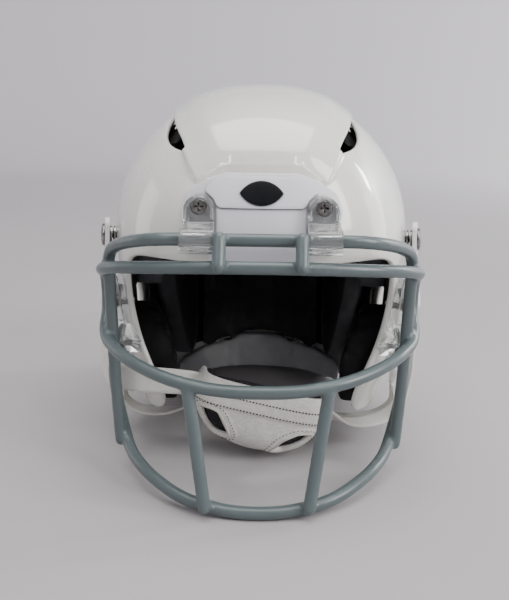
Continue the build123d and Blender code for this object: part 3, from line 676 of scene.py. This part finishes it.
def brow_loop():
    """The shell's outer border on the disc, right side from the front and back along the left."""
    run = rounded(offset(FACE_CUT, 1.6)[1:-1], 3, closed=False)
    run = resample(run, 0.5, closed=False)
    width, front, back = half_axes(run[:, 1])
    dy = run[:, 0] - CENTRE_Y
    reach = np.where(dy < 0, front, back)
    on = np.abs(dy) < reach * 0.9995
    run, width, reach, dy = run[on], width[on], reach[on], dy[on]
    x = width * (1 - (np.abs(dy) / reach) ** PLAN_POWER) ** (1 / PLAN_POWER)
    right = np.stack([x, run[:, 0], run[:, 1]], -1)
    # close over the brow in front and along the back rim, at their own heights
    z0, z1 = right[0, 2], max(right[-1, 2], 0.0)
    a0, a1 = (np.arctan2(*to_disc(p[None])[0][::-1]) for p in (right[0], right[-1]))
    lead = section(np.full(40, z0), np.linspace(-math.pi / 2, a0, 41)[:-1])
    tail = section(np.full(60, z1), np.linspace(a1, math.pi / 2, 61)[1:])
    half = np.vstack([lead, right, tail])
    loop = np.vstack([half, (half * (-1, 1, 1))[::-1][1:-1]])
    loop = resample(loop, 3.0)
    return loop


def side_hole(outline, side):
    pts = resample(rounded(offset(outline, 1.6), 3), 2.4)
    width, front, back = half_axes(pts[:, 1])
    reach = np.where(pts[:, 0] < CENTRE_Y, front, back)
    x = width * (1 - (np.abs(pts[:, 0] - CENTRE_Y) / reach) ** PLAN_POWER) ** (1 / PLAN_POWER)
    return np.stack([side * x, pts[:, 0], pts[:, 1]], -1)


def top_hole(outline, side):
    return top_line(resample(rounded(offset(outline, 1.2), 2), 2.0), side)


def top_line(pts, side):
    """Points of the dome above places given as distance from the middle plane and y."""
    plan = (np.abs(pts[:, 0]) / HALF_WIDTH) ** PLAN_POWER
    reach = np.where(pts[:, 1] < CENTRE_Y, FRONT_REACH, BACK_REACH)
    plan += (np.abs(pts[:, 1] - CENTRE_Y) / reach) ** PLAN_POWER
    share = np.clip(1 - plan ** (DOME_POWER / PLAN_POWER), 0, None) ** (1 / DOME_POWER)
    z = BROW_Z + CROWN_RISE * share
    return np.stack([side * pts[:, 0], pts[:, 1], z], -1)


def away_from(others, points, gap):
    """Which points are further than a gap from all the others."""
    tree = KDTree(len(others))
    for i, p in enumerate(others):
        tree.insert(p, i)
    tree.balance()
    return np.array([tree.find(p)[2] > gap for p in points])


def make_shell():
    outer = brow_loop()
    holes = [side_hole(EAR_HOLE, s) for s in (1, -1)]
    holes += [top_hole(v, s) for v in (VENT, REAR_VENT) for s in (1, -1)]
    pitch = 4.0
    grid = [np.array([[0.0, 0.0]])]
    for s in np.arange(pitch, SIDE_RUN[-1] - 8, pitch):
        z = np.interp(s, SIDE_RUN, SIDE_Z)
        turn = np.linspace(0, 2 * math.pi, 721)
        ring = section(np.full(721, z), turn)
        run = np.concatenate([[0], np.cumsum(np.linalg.norm(np.diff(ring, axis=0), axis=1))])
        n = max(int(run[-1] / pitch), 8)
        shift = (int(s / pitch) % 2) * 0.5
        t = np.interp((np.arange(n) + shift) * run[-1] / n, run, turn)
        grid.append(np.stack([s * np.cos(t), s * np.sin(t)], -1))
    grid = np.vstack(grid)
    space = from_disc(grid)
    # rows along the band's two creases
    edge = resample(rounded(BAND_EDGE, 3, closed=False), 2.0, closed=False)
    rows = [top_line(edge - (run, 0), s) for run in (0.0, EDGE_RUN / 2, EDGE_RUN) for s in (1, -1)]
    rows = np.vstack(rows)
    rows = rows[rows[:, 2] > BAND_FOOT]
    grid = np.vstack([grid[away_from(rows, space, 1.5)], to_disc(rows)])
    grid = grid[away_from(np.vstack([outer] + holes), from_disc(grid), 2.1)]

    def place(q):
        p = from_disc(q)
        n = normals_at(p)
        return p + n * band_height(p)[:, None], n

    def wall(q):
        return SHELL_T + band_height(from_disc(q))

    mesh = skin("shell_wall", to_disc(outer), [to_disc(h) for h in holes], grid, place, wall, 1.5)
    obj = link("shell_wall", mesh, "helmet", MATS["shell_white"])
    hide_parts("shell")
    return obj


# ------------------------------------------------------------------ face mask
def make_mask():
    names = [n for n in NODES if n.startswith("mask_")]
    mesh = remeshed("mask_coated_wire", names, 1.1, smooth=16, shrink=-0.15)
    obj = link("mask_coated_wire", mesh, "facemask", MATS["mask_grey"])
    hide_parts(*names)
    return obj


# ------------------------------------------------------------------ clear clips
CLIP_X, CLIP_Z, CLIP_HALF = 37.0, 178.0, 9.5
CLIP_FOOT, CLIP_LEAN = (-119.7, 172.0), 5 / 15.5  # y and height of the flange's face, and y gained per height


def make_clip_ribs():
    """A moulded rim round the flange of each brow clip."""
    for side, s in (("left", -1), ("right", 1)):
        r = CLIP_HALF - 1.5
        arch = [(r * math.cos(a), CLIP_Z + r * math.sin(a)) for a in np.linspace(0, math.pi, 25)]
        run = [(r, 174.0)] + arch + [(-r, 174.0)]
        points = [(s * CLIP_X + x, CLIP_FOOT[0] + (z - CLIP_FOOT[1]) * CLIP_LEAN, z) for x, z in run]
        clear = MATS["clear_plastic"]
        tube(f"front_clip_rim_{side}", points, 0.9, "helmet", clear, closed=False)


# ------------------------------------------------------------------ padding
def coords(mesh):
    co = np.empty(len(mesh.vertices) * 3)
    mesh.vertices.foreach_get("co", co)
    return co.reshape(-1, 3)


def put(mesh, co):
    mesh.vertices.foreach_set("co", np.ascontiguousarray(co, float).ravel())
    mesh.update()


def with_modifier(mesh, kind, **settings):
    """A mesh after one modifier."""
    obj = bpy.data.objects.new("work", mesh)
    bpy.context.scene.collection.objects.link(obj)
    mod = obj.modifiers.new("work", kind)
    for k, v in settings.items():
        setattr(mod, k, v)
    bpy.context.view_layer.update()
    out = evaluated(obj)
    bpy.data.objects.remove(obj)
    return out


def puffed(mesh, cap, pressure=4.0):
    """A covered pad: the cloth is blown up a little, and no point moves further than the cap."""
    start = coords(mesh)
    obj = bpy.data.objects.new("pad_sim", mesh)
    scene = bpy.context.scene
    scene.collection.objects.link(obj)
    cloth = obj.modifiers.new("cloth", "CLOTH")
    cloth.settings.use_pressure = True
    cloth.settings.uniform_pressure_force = pressure
    cloth.settings.quality = 4
    cloth.settings.mass = 0.3
    cloth.settings.effector_weights.gravity = 0.0
    cloth.point_cache.frame_start, cloth.point_cache.frame_end = 1, 20
    for f in range(1, 21):
        scene.frame_set(f)
    out = evaluated(obj)
    bpy.data.objects.remove(obj)
    scene.frame_set(1)
    end = coords(out)
    move = end - start
    far = np.linalg.norm(move, axis=1, keepdims=True)
    put(out, start + move * np.minimum(1.0, cap * MM / np.maximum(far, 1e-9)))
    return out


def lumps(co, size, seed=0.0):
    """Smooth noise from -1 to 1 at points in metres, with lumps of a size in millimetres."""
    k = 1000.0 / size
    return np.array([noise.noise(Vector((x * k, y * k + seed, z * k))) for x, y, z in co])


def make_pad(node, inner, voxel=5.0, cap=3.0, shrink=1.2, material="pad_black", welt=1.0, edge=1.0):
    """A covered foam pad in its CAD solid's place. Inner is the growth of the surface its face lies on."""
    mesh = remeshed(node + "_cover", [node], voxel, smooth=2, shrink=shrink)
    if cap:
        mesh = puffed(mesh, cap)
    mesh = with_modifier(mesh, "SUBSURF", levels=2)
    co = coords(mesh) / MM
    n = np.empty(len(mesh.vertices) * 3)
    mesh.vertex_normals.foreach_get("vector", n)
    n = n.reshape(-1, 3)
    out = normals_at(co, inner)
    depth = (level(co, inner) - 1) / np.linalg.norm(slope_at(co, inner), axis=1)
    facing = -(out * n).sum(1)
    side = soft_step(depth - 2.6, 2.0)
    ridge = np.exp(-((depth - 3.4) / 0.9) ** 2) * (1 - np.clip(facing, 0, 1)) * welt
    wrinkle = lumps(co * MM, 26, 3.0) * 0.55 + lumps(co * MM, 9, 9.0) * 0.22
    co = co + n * (ridge * 0.9 + wrinkle)[:, None]
    put(mesh, co * MM)
    shade = mesh.attributes.new("side", "FLOAT", "POINT")
    shade.data.foreach_set("value", (side * edge).astype(np.float32))
    obj = link(node + "_cover", mesh, "helmet", MATS[material])
    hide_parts(node)
    return obj


def make_neck_lining():
    """A thin moulded lining low on each side of the neck, just inside the shell."""
    cols, rows, top = 50, 18, 46.0
    turns, shares = np.radians(np.linspace(8, 57, cols)), np.linspace(0, 1, rows)
    rim = section(np.full(cols, 20.0), turns, -4.6)
    low = np.maximum(3.0, np.interp(rim[:, 1], (20, 58, 98), (27, 17, 3)))[:, None]
    z = low + (top - low) * shares
    turn = np.broadcast_to(turns[:, None], z.shape)
    corners = [i * rows + j for i in range(cols - 1) for j in range(rows - 1)]
    faces = [(a, a + rows, a + rows + 1, a + 1) for a in corners]
    around = [i * rows for i in range(cols)] + [(cols - 1) * rows + j for j in range(1, rows)]
    around += [i * rows + rows - 1 for i in range(cols - 2, -1, -1)] + list(range(rows - 2, 0, -1))
    for side, s in (("left", -1), ("right", 1)):
        points = [section(z.ravel(), turn.ravel(), grow) * (s, 1, 1) for grow in (-4.6, -5.4)]
        count = len(points[0])
        wall = [(a, b, b + count, a + count) for a, b in zip(around, around[1:] + around[:1])]
        inner = [tuple(v + count for v in reversed(f)) for f in faces]
        mesh = mesh_from(f"neck_lining_{side}", np.vstack(points), faces + inner + wall)
        link(f"neck_lining_{side}", outward(mesh), "helmet", MATS["nape_grey"])


def make_padding():
    make_neck_lining()
    make_pad("brow_pad", -32)
    make_pad("crown_pad", -32)
    make_pad("rear_pad", -32)
    make_pad("upper_rear_pad", -32)
    make_pad("nape_pad", -16.3, voxel=3.5, cap=1.5, shrink=0.5, material="nape_grey", welt=0)
    for side in ("left", "right"):
        make_pad(f"side_pad_{side}", -32)
        make_pad(f"neck_pad_{side}", -32)
        # the jaw pads take painted shade: a darker copy of the pad material
        make_pad(f"jaw_pad_{side}", -28.3, voxel=4.0, cap=2.5, shrink=0.8, material="pad_black_shaded", edge=0.3)


# ------------------------------------------------------------------ chin cup
CUP_CENTRE, CUP_AXES = np.array([1.5, -51.0, 38.6]), np.array([47.5, 35.0, 34.5])
CUP_POWER = 4.2  # how flat the cup's front is
CUP_SPREAD = 40.0
CUP_TOP = 0.36
CUP_ROLL, CUP_TILT = math.radians(12.5), math.radians(-4)
CUP_TURN = np.array(Euler((0, CUP_ROLL, 0)).to_matrix()) @ np.array(Euler((CUP_TILT, 0, 0)).to_matrix())


def cup_disc(flat):
    """From places on the front, as shares of the half width and height, to a flat disc."""
    rho = np.linalg.norm(flat, axis=1)
    away = np.arctan2(rho, np.clip(1 - rho**CUP_POWER, 1e-9, 1) ** (1 / CUP_POWER))
    return flat / np.maximum(rho, 1e-9)[:, None] * away[:, None] * CUP_SPREAD


def cup_shares(q):
    """Shares of the half width, depth and height at places of the disc."""
    away = np.linalg.norm(q, axis=1) / CUP_SPREAD
    turn = np.arctan2(q[:, 1], q[:, 0])
    s, c = np.sin(away), np.cos(away)
    size = (np.abs(s) ** CUP_POWER + np.abs(c) ** CUP_POWER) ** (-1 / CUP_POWER)
    return np.stack([s * np.cos(turn), -c, s * np.sin(turn)], -1) * size[:, None]


def cup_point(q, out=0.0):
    """Points and outward normals of the bowl, moved out by an amount."""
    at = cup_shares(q)
    rho = np.maximum(np.hypot(at[:, 0], at[:, 2]), 1e-6)[:, None]
    slope = at / CUP_AXES
    slope[:, [0, 2]] *= rho ** (CUP_POWER - 2)
    slope[:, 1] *= np.abs(at[:, 1]) ** (CUP_POWER - 2)
    slope /= np.linalg.norm(slope, axis=1, keepdims=True)
    local = at * CUP_AXES + slope * np.asarray(out).reshape(-1, 1)
    return CUP_CENTRE + local @ CUP_TURN.T, slope @ CUP_TURN.T


def cup_loop(back=86.0, top=CUP_TOP):
    """The bowl's outline on the disc: level along the top, round the back below."""
    r = math.radians(back)
    turn = np.linspace(0.37, -math.pi - 0.37, 90)
    rim = np.stack([np.cos(turn), np.sin(turn)], -1) * r * CUP_SPREAD
    rim = rim[cup_shares(rim)[:, 2] < top]
    reach = math.sqrt(0.9985 - top**2)
    x = -reach * np.cos(np.linspace(0, math.pi, 90))
    line = cup_disc(np.stack([x, np.full(90, top)], -1))
    line = line[np.linalg.norm(line, axis=1) < r * CUP_SPREAD]
    return np.vstack([rim, line])


def cup_vents():
    left = np.array([(-41.5, -7.5), (-29, -7), (-16, -24), (-30, -25)])
    right = np.array([(12.5, -29.5), (21.5, -29), (32.5, -21), (39, -11), (30, -11.5), (19, -19.5)])
    loops = []
    for pts in (left, right):
        flat = pts / CUP_AXES[[0, 2]]
        loops.append(resample(rounded(resample(cup_disc(flat), 4.0), 3), 1.3))
    return loops


def hem_line(share, turn):
    """Places of the disc along a level line of the front, from a sweep of angles."""
    reach = math.sqrt(0.985 - share**2)
    return cup_disc(np.stack([reach * np.sin(turn), np.full(len(turn), share)], -1))


def cup_rise(q, vents):
    """Hem along the top, welts round the vents, and the cover's small waves."""
    z = cup_shares(q)[:, 2]
    hem = 0.8 * soft_step(z + 0.155, 0.03)
    for v in vents:
        d = distance(q, v)
        hem = np.maximum(hem, 0.9 * soft_step(4.6 - d, 1.4))
    p = cup_point(q)[0] * MM
    return hem + lumps(p, 30, 5.0) * 0.5 + lumps(p, 9, 2.0) * 0.16


def disc_grid(loops, pitch):
    """Even points inside the first loop and outside the others, clear of them all."""
    lo, hi = loops[0].min(0), loops[0].max(0)
    xs, ys = np.arange(lo[0], hi[0], pitch), np.arange(lo[1], hi[1], pitch * 0.87)
    q = np.array([(x + (i % 2) * pitch / 2, y) for i, y in enumerate(ys) for x in xs])
    keep = inside(q, loops[0])
    for loop in loops:
        keep &= distance(q, loop) > pitch * 0.55
    for hole in loops[1:]:
        keep &= ~inside(q, hole)
    return q[keep]


def stitches(name, centres, normals, length, body, width=0.52):
    """A row of stitches: one small raised dash at every place."""
    verts, faces = [], []
    ahead = np.gradient(centres, axis=0)
    ahead /= np.linalg.norm(ahead, axis=1, keepdims=True)
    for c, n, t in zip(centres, normals, ahead):
        across = np.cross(n, t)
        base = len(verts)
        for s in (-1, -0.6, 0.6, 1):
            k = 1.0 if abs(s) < 0.8 else 0.35
            for a in np.linspace(0, 2 * math.pi, 6, endpoint=False):
                r = width * k
                verts.append(c + t * s * length / 2 + across * r * math.cos(a) + n * r * (math.sin(a) + 0.35))
        for i in range(3):
            for j in range(6):
                a0, b0 = base + i * 6 + j, base + i * 6 + (j + 1) % 6
                faces.append((a0, b0, b0 + 6, a0 + 6))
        faces += [tuple(base + j for j in reversed(range(6))), tuple(base + 18 + j for j in range(6))]
    return link(name, mesh_from(name, verts, faces), body, MATS["thread_grey"])


def make_cup():
    body = "chin_cup_and_straps"
    outer, vents = cup_loop(), cup_vents()
    outer = resample(rounded(resample(outer, 7.0), 2), 2.2)
    loops = [outer] + vents

    def place(q):
        return cup_point(q, cup_rise(q, vents))

    def wall(q):
        return 2.6 + cup_rise(q, vents)

    mesh = skin("chin_cup_cover", outer, vents, disc_grid(loops, 2.4), place, wall, 1.1)
    cover = link("chin_cup_cover", mesh, body, MATS["cup_white"])
    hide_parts("chin_cup")
    # foam lining: a little higher than the cover at the top, and it shows in the vents
    lining_loop = resample(rounded(resample(cup_loop(84.0, CUP_TOP + 0.06), 7.0), 2), 2.4)

    def lining(q):
        return cup_point(q, np.full(len(q), -3.0))

    def foam_wall(q):
        return np.full(len(q), 5.5)

    grid = disc_grid([lining_loop], 2.8)
    mesh = skin("chin_cup_lining", lining_loop, [], grid, lining, foam_wall, 1.5)
    foam = link("chin_cup_lining", mesh, body, MATS["foam_black"])
    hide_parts("chin_cup_pad")
    # two stitch rows along the hem, and one round each vent
    for k, z in enumerate((0.12, -0.1)):
        fine = np.linspace(-1.45, 1.45, 900)
        p, _ = place(hem_line(z, fine))
        run = np.concatenate([[0], np.cumsum(np.linalg.norm(np.diff(p, axis=0), axis=1))])
        t = np.interp(np.arange(1.0, run[-1], 2.3), run, fine)
        p, n = place(hem_line(z, t))
        stitches(f"cup_stitches_{k + 1}", p, n, 1.35, body)
    for k, v in enumerate(vents):
        q = resample(offset(v, 3.4), 2.3)
        p, n = place(q)
        stitches(f"vent_stitches_{k + 1}", p, n, 1.3, body, 0.3)
        rim = resample(offset(v, 0.5), 1.5)
        p, _ = place(rim)
        tube(f"vent_rim_{k + 1}", p, 0.7, body, MATS["cup_edge"], resolution=2)
    ring = resample(offset(outer, 0.4), 2.0)
    p, n = place(ring)
    tube("cup_binding", p - n * 1.4, 1.7, body, MATS["cup_white"], resolution=3)


# ------------------------------------------------------------------ straps
def smooth_run(points, step=1.6):
    """Catmull-Rom points through a route, evenly spaced."""
    p = np.asarray(points, float)
    p = np.vstack([2 * p[0] - p[1], p, 2 * p[-1] - p[-2]])
    out = []
    for i in range(1, len(p) - 2):
        t = np.linspace(0, 1, 24, endpoint=False)[:, None]
        a, b, c, d = p[i - 1], p[i], p[i + 1], p[i + 2]
        bend = (2 * a - 5 * b + 4 * c - d) * t**2 + (3 * b - 3 * c + d - a) * t**3
        out.append(0.5 * (2 * b + (c - a) * t + bend))
    out = np.vstack(out + [p[-2:-1]])
    return resample(out, step, closed=False)


WAVE = 17.0  # the webbing's slow waves, in millimetres along it


def make_ribbon(name, points, facings, width=19.0, thick=1.9, soft=1.0):
    """Webbing with rounded edges that follows a route; its UV map is in millimetres."""
    both = smooth_run(np.hstack([np.asarray(points, float), np.asarray(facings, float) * 6]))
    line, face = both[:, :3], both[:, 3:]
    ahead = np.gradient(line, axis=0)
    ahead /= np.linalg.norm(ahead, axis=1, keepdims=True)
    across = np.cross(ahead, face)
    across /= np.linalg.norm(across, axis=1, keepdims=True)
    up = np.cross(across, ahead)
    run = np.concatenate([[0], np.cumsum(np.linalg.norm(np.diff(line, axis=0), axis=1))])
    half, t = width / 2, thick / 2
    cols = np.linspace(-half + 0.5, half - 0.5, 9)
    section = [(x, t) for x in cols] + [(half - 0.1, t * 0.6), (half, 0), (half - 0.1, -t * 0.6)]
    section += [(x, -t) for x in cols[::-1]] + [(-half + 0.1, -t * 0.6), (-half, 0), (-half + 0.1, t * 0.6)]
    section = np.array(section)
    k = len(section)
    bow = soft * (1 - (section[:, 0] / half) ** 2) * 0.5
    rows = []
    for at, side, top, so_far in zip(line, across, up, run):
        lift = section[:, 1:] + (bow * math.sin(so_far / WAVE))[:, None]
        rows.append(at + side * section[:, :1] + top * lift)
    faces, uvs = [], []
    girth = np.concatenate([[0], np.cumsum(np.linalg.norm(np.diff(section, axis=0), axis=1))])
    girth = np.append(girth, girth[-1] + 0.5)
    for i in range(len(rows) - 1):
        for j in range(k):
            j2 = (j + 1) % k
            faces.append((i * k + j, i * k + j2, (i + 1) * k + j2, (i + 1) * k + j))
            uvs += [(run[i], girth[j]), (run[i], girth[j + 1])]
            uvs += [(run[i + 1], girth[j + 1]), (run[i + 1], girth[j])]
    for i, order in ((0, range(k - 1, -1, -1)), (len(rows) - 1, range(k))):
        faces.append(tuple(i * k + j for j in order))
        uvs += [(run[i], section[j][0]) for j in order]
    mesh = mesh_from(name, np.vstack(rows), faces)
    layer = mesh.uv_layers.new(name="run")
    layer.data.foreach_set("uv", np.array(uvs, float).ravel())
    return outward(mesh)


HIGH_START, HIGH_FACE = (110.8, -34.9, 121.2), (0.968, -0.246, 0.056)
LOW_START, LOW_FACE = (101.2, -24.1, 37.6), (0.976, -0.13, -0.174)
HIGH_RIGHT = [
    ((112.5, -38, 98), (1, -0.25, 0)), ((112, -41, 71), (1, -0.2, -0.1)), ((109, -44, 48), (1, -0.1, -0.4)),
    ((101, -47, 29), (0.7, 0, -0.7)), ((88, -50, 20.5), (0.2, 0, -1)), ((67, -54, 19), (0.1, -0.1, -1)),
    ((49, -57, 27), (0.6, -0.2, -0.8)),
]
HIGH_LEFT = [
    ((-112.5, -38, 98), (-1, -0.25, 0)), ((-112, -44, 80), (-1, -0.4, 0)), ((-109, -55, 65), (-0.9, -0.6, 0)),
    ((-101, -66, 57.5), (-0.5, -0.9, 0)), ((-84, -71.5, 56.5), (0, -1, 0)), ((-65, -70.5, 55), (0, -1, 0)),
    ((-50, -65.5, 52), (-0.2, -1, 0)), ((-41, -62.0, 49.5), (-0.4, -1, 0)),
]
LOW_RIGHT = [
    ((101, -27, 24), (0.8, 0, -0.5)), ((88, -29, 15), (0.2, 0, -1)),
    ((68, -32, 13), (0, 0, -1)), ((48, -41, 18), (0.3, 0, -1)),
]
LOW_LEFT = [
    ((-101, -27, 24), (-0.8, 0, -0.5)), ((-88, -29, 16), (-0.2, 0, -1)),
    ((-68, -33, 17), (0, 0, -1)), ((-46.5, -41, 26), (-0.4, 0, -1)),
]


def make_straps():
    for side, s in (("left", -1), ("right", 1)):
        flip = lambda v: (s * v[0], v[1], v[2])
        high = [(flip(HIGH_START), flip(HIGH_FACE))] + (HIGH_RIGHT if s > 0 else HIGH_LEFT)
        low = [(flip(LOW_START), flip(LOW_FACE))] + (LOW_RIGHT if s > 0 else LOW_LEFT)
        for lev, run, width, clear in (("high", high, 18.6, 14.0), ("low", low, 14.6, 9.0)):
            points, facings = zip(*run)
            mesh = make_ribbon(f"{lev}_webbing_{side}", points, facings, width)
            obj = link(f"{lev}_webbing_{side}", mesh, None, MATS["strap_white"])
            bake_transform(obj)
            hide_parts(f"{lev}_strap_{side}")


# ------------------------------------------------------------------ room, light and camera
def make_stage():
    """A round studio cove: pale floor that curves up into a wall on every side."""
    floor, bend, top, count = 2.6, 0.9, 2.4, 96
    prof = [(r, 0.0) for r in np.linspace(0.15, floor, 12)]
    quarter = np.linspace(0, math.pi / 2, 16)[1:]
    prof += [(floor + bend * math.sin(a), bend - bend * math.cos(a)) for a in quarter]
    prof.append((floor + bend, top))
    turn = np.linspace(0, 2 * math.pi, count, endpoint=False)
    verts = [(r * math.cos(t), r * math.sin(t), z) for r, z in prof for t in turn]
    faces = [tuple(range(count))]
    for i in range(len(prof) - 1):
        for j in range(count):
            a, b = i * count + j, i * count + (j + 1) % count
            faces.append((a, a + count, b + count, b))
    mesh = bpy.data.meshes.new("studio_floor")
    mesh.from_pydata(verts, [], faces)
    obj = link("studio_floor", mesh, None, MATS["backdrop"])


def area(name, at, to, size, power, color=(1, 1, 1)):
    light = bpy.data.lights.new(name, "AREA")
    light.shape = "RECTANGLE"
    light.size, light.size_y = size
    light.energy, light.color = power, color
    obj = bpy.data.objects.new(name, light)
    obj.location = at
    obj.rotation_euler = (Vector(to) - Vector(at)).to_track_quat("-Z", "Y").to_euler()
    bpy.context.scene.collection.objects.link(obj)


def make_light():
    area("softbox_over", (0.0, -0.15, 1.7), (0, 0, 0.1), (1.6, 1.4), 30, (1.0, 0.985, 0.97))
    area("window_left", (-1.5, -0.9, 1.2), (0, 0, 0.12), (0.9, 1.2), 2, (0.97, 0.985, 1.0))
    area("window_right", (1.4, -0.8, 1.0), (0, 0, 0.12), (0.8, 1.1), 24, (1.0, 0.98, 0.96))
    area("strip_left", (-0.62, -1.1, 1.05), (0, -0.05, 0.2), (0.06, 0.5), 1.6)
    area("strip_right", (0.66, -1.1, 1.05), (0, -0.05, 0.2), (0.06, 0.5), 1.6)
    area("wall_right", (2.7, 1.0, 1.7), (1.7, 3.2, 0.7), (0.8, 0.8), 95)
    area("side_left", (-1.5, 0.35, 0.45), (0, 0, 0.14), (0.5, 0.7), 1.6)
    area("side_right", (1.5, 0.35, 0.45), (0, 0, 0.14), (0.5, 0.7), 3.5)
    world = bpy.data.worlds.new("studio")
    bpy.context.scene.world = world
    world.use_nodes = True
    world.node_tree.nodes["Background"].inputs[0].default_value = (0.86, 0.85, 0.87, 1)
    world.node_tree.nodes["Background"].inputs[1].default_value = 0.46


CAMERA_AT, CAMERA_DOWN, CAMERA_ROLL = (0.0, -0.530, 0.230), 14.2, 0.9  # metres and degrees


def make_camera():
    cam = bpy.data.cameras.new("camera")
    cam.sensor_width = 36.0
    cam.lens = 42.3
    cam.shift_x = -0.00917
    cam.clip_start = 0.01
    obj = bpy.data.objects.new("camera", cam)
    obj.location = CAMERA_AT
    tilt = Euler((math.radians(90 - CAMERA_DOWN), 0, 0)).to_matrix()
    roll = Euler((0, 0, math.radians(CAMERA_ROLL))).to_matrix()
    obj.rotation_euler = (tilt @ roll).to_euler()
    bpy.context.scene.collection.objects.link(obj)
    bpy.context.scene.camera = obj


make_shell()
make_mask()
make_clip_ribs()
make_padding()
make_cup()
make_straps()
make_stage()
make_light()
make_camera()

FINISH = {
    "front_bumper": ("bumper_white", 0.8), "front_badge": ("bumper_white", 0.3),
    "front_emblem": ("emblem_dark", 0.15),
    "rear_bumper": ("bumper_white", 0.8), "tee_nuts": ("steel", 0.0), "snap_studs": ("steel", 0.0),
    "front_clip_screws": ("steel", 0.25), "side_clip_screws": ("steel", 0.25),
    "rear_bumper_screws": ("steel", 0.25),
    "damper_discs": ("damper_rubber", 0.6), "liner_carrier": ("pad_black", 0.0),
}
for side in ("left", "right"):
    FINISH[f"front_clip_{side}"] = ("clear_plastic", 0.8)
    FINISH[f"side_clip_{side}"] = ("clear_plastic", 0.6)
    FINISH[f"strap_buckle_{side}"] = ("tab_white", 0.5)
    for lev in ("high", "low"):
        FINISH[f"strap_tab_{lev}_{side}"] = ("tab_white", 0.5)
        FINISH[f"snap_cap_{lev}_{side}"] = ("steel", 0.2)
for node, (material, bevel) in FINISH.items():
    dress(node, material, bevel)
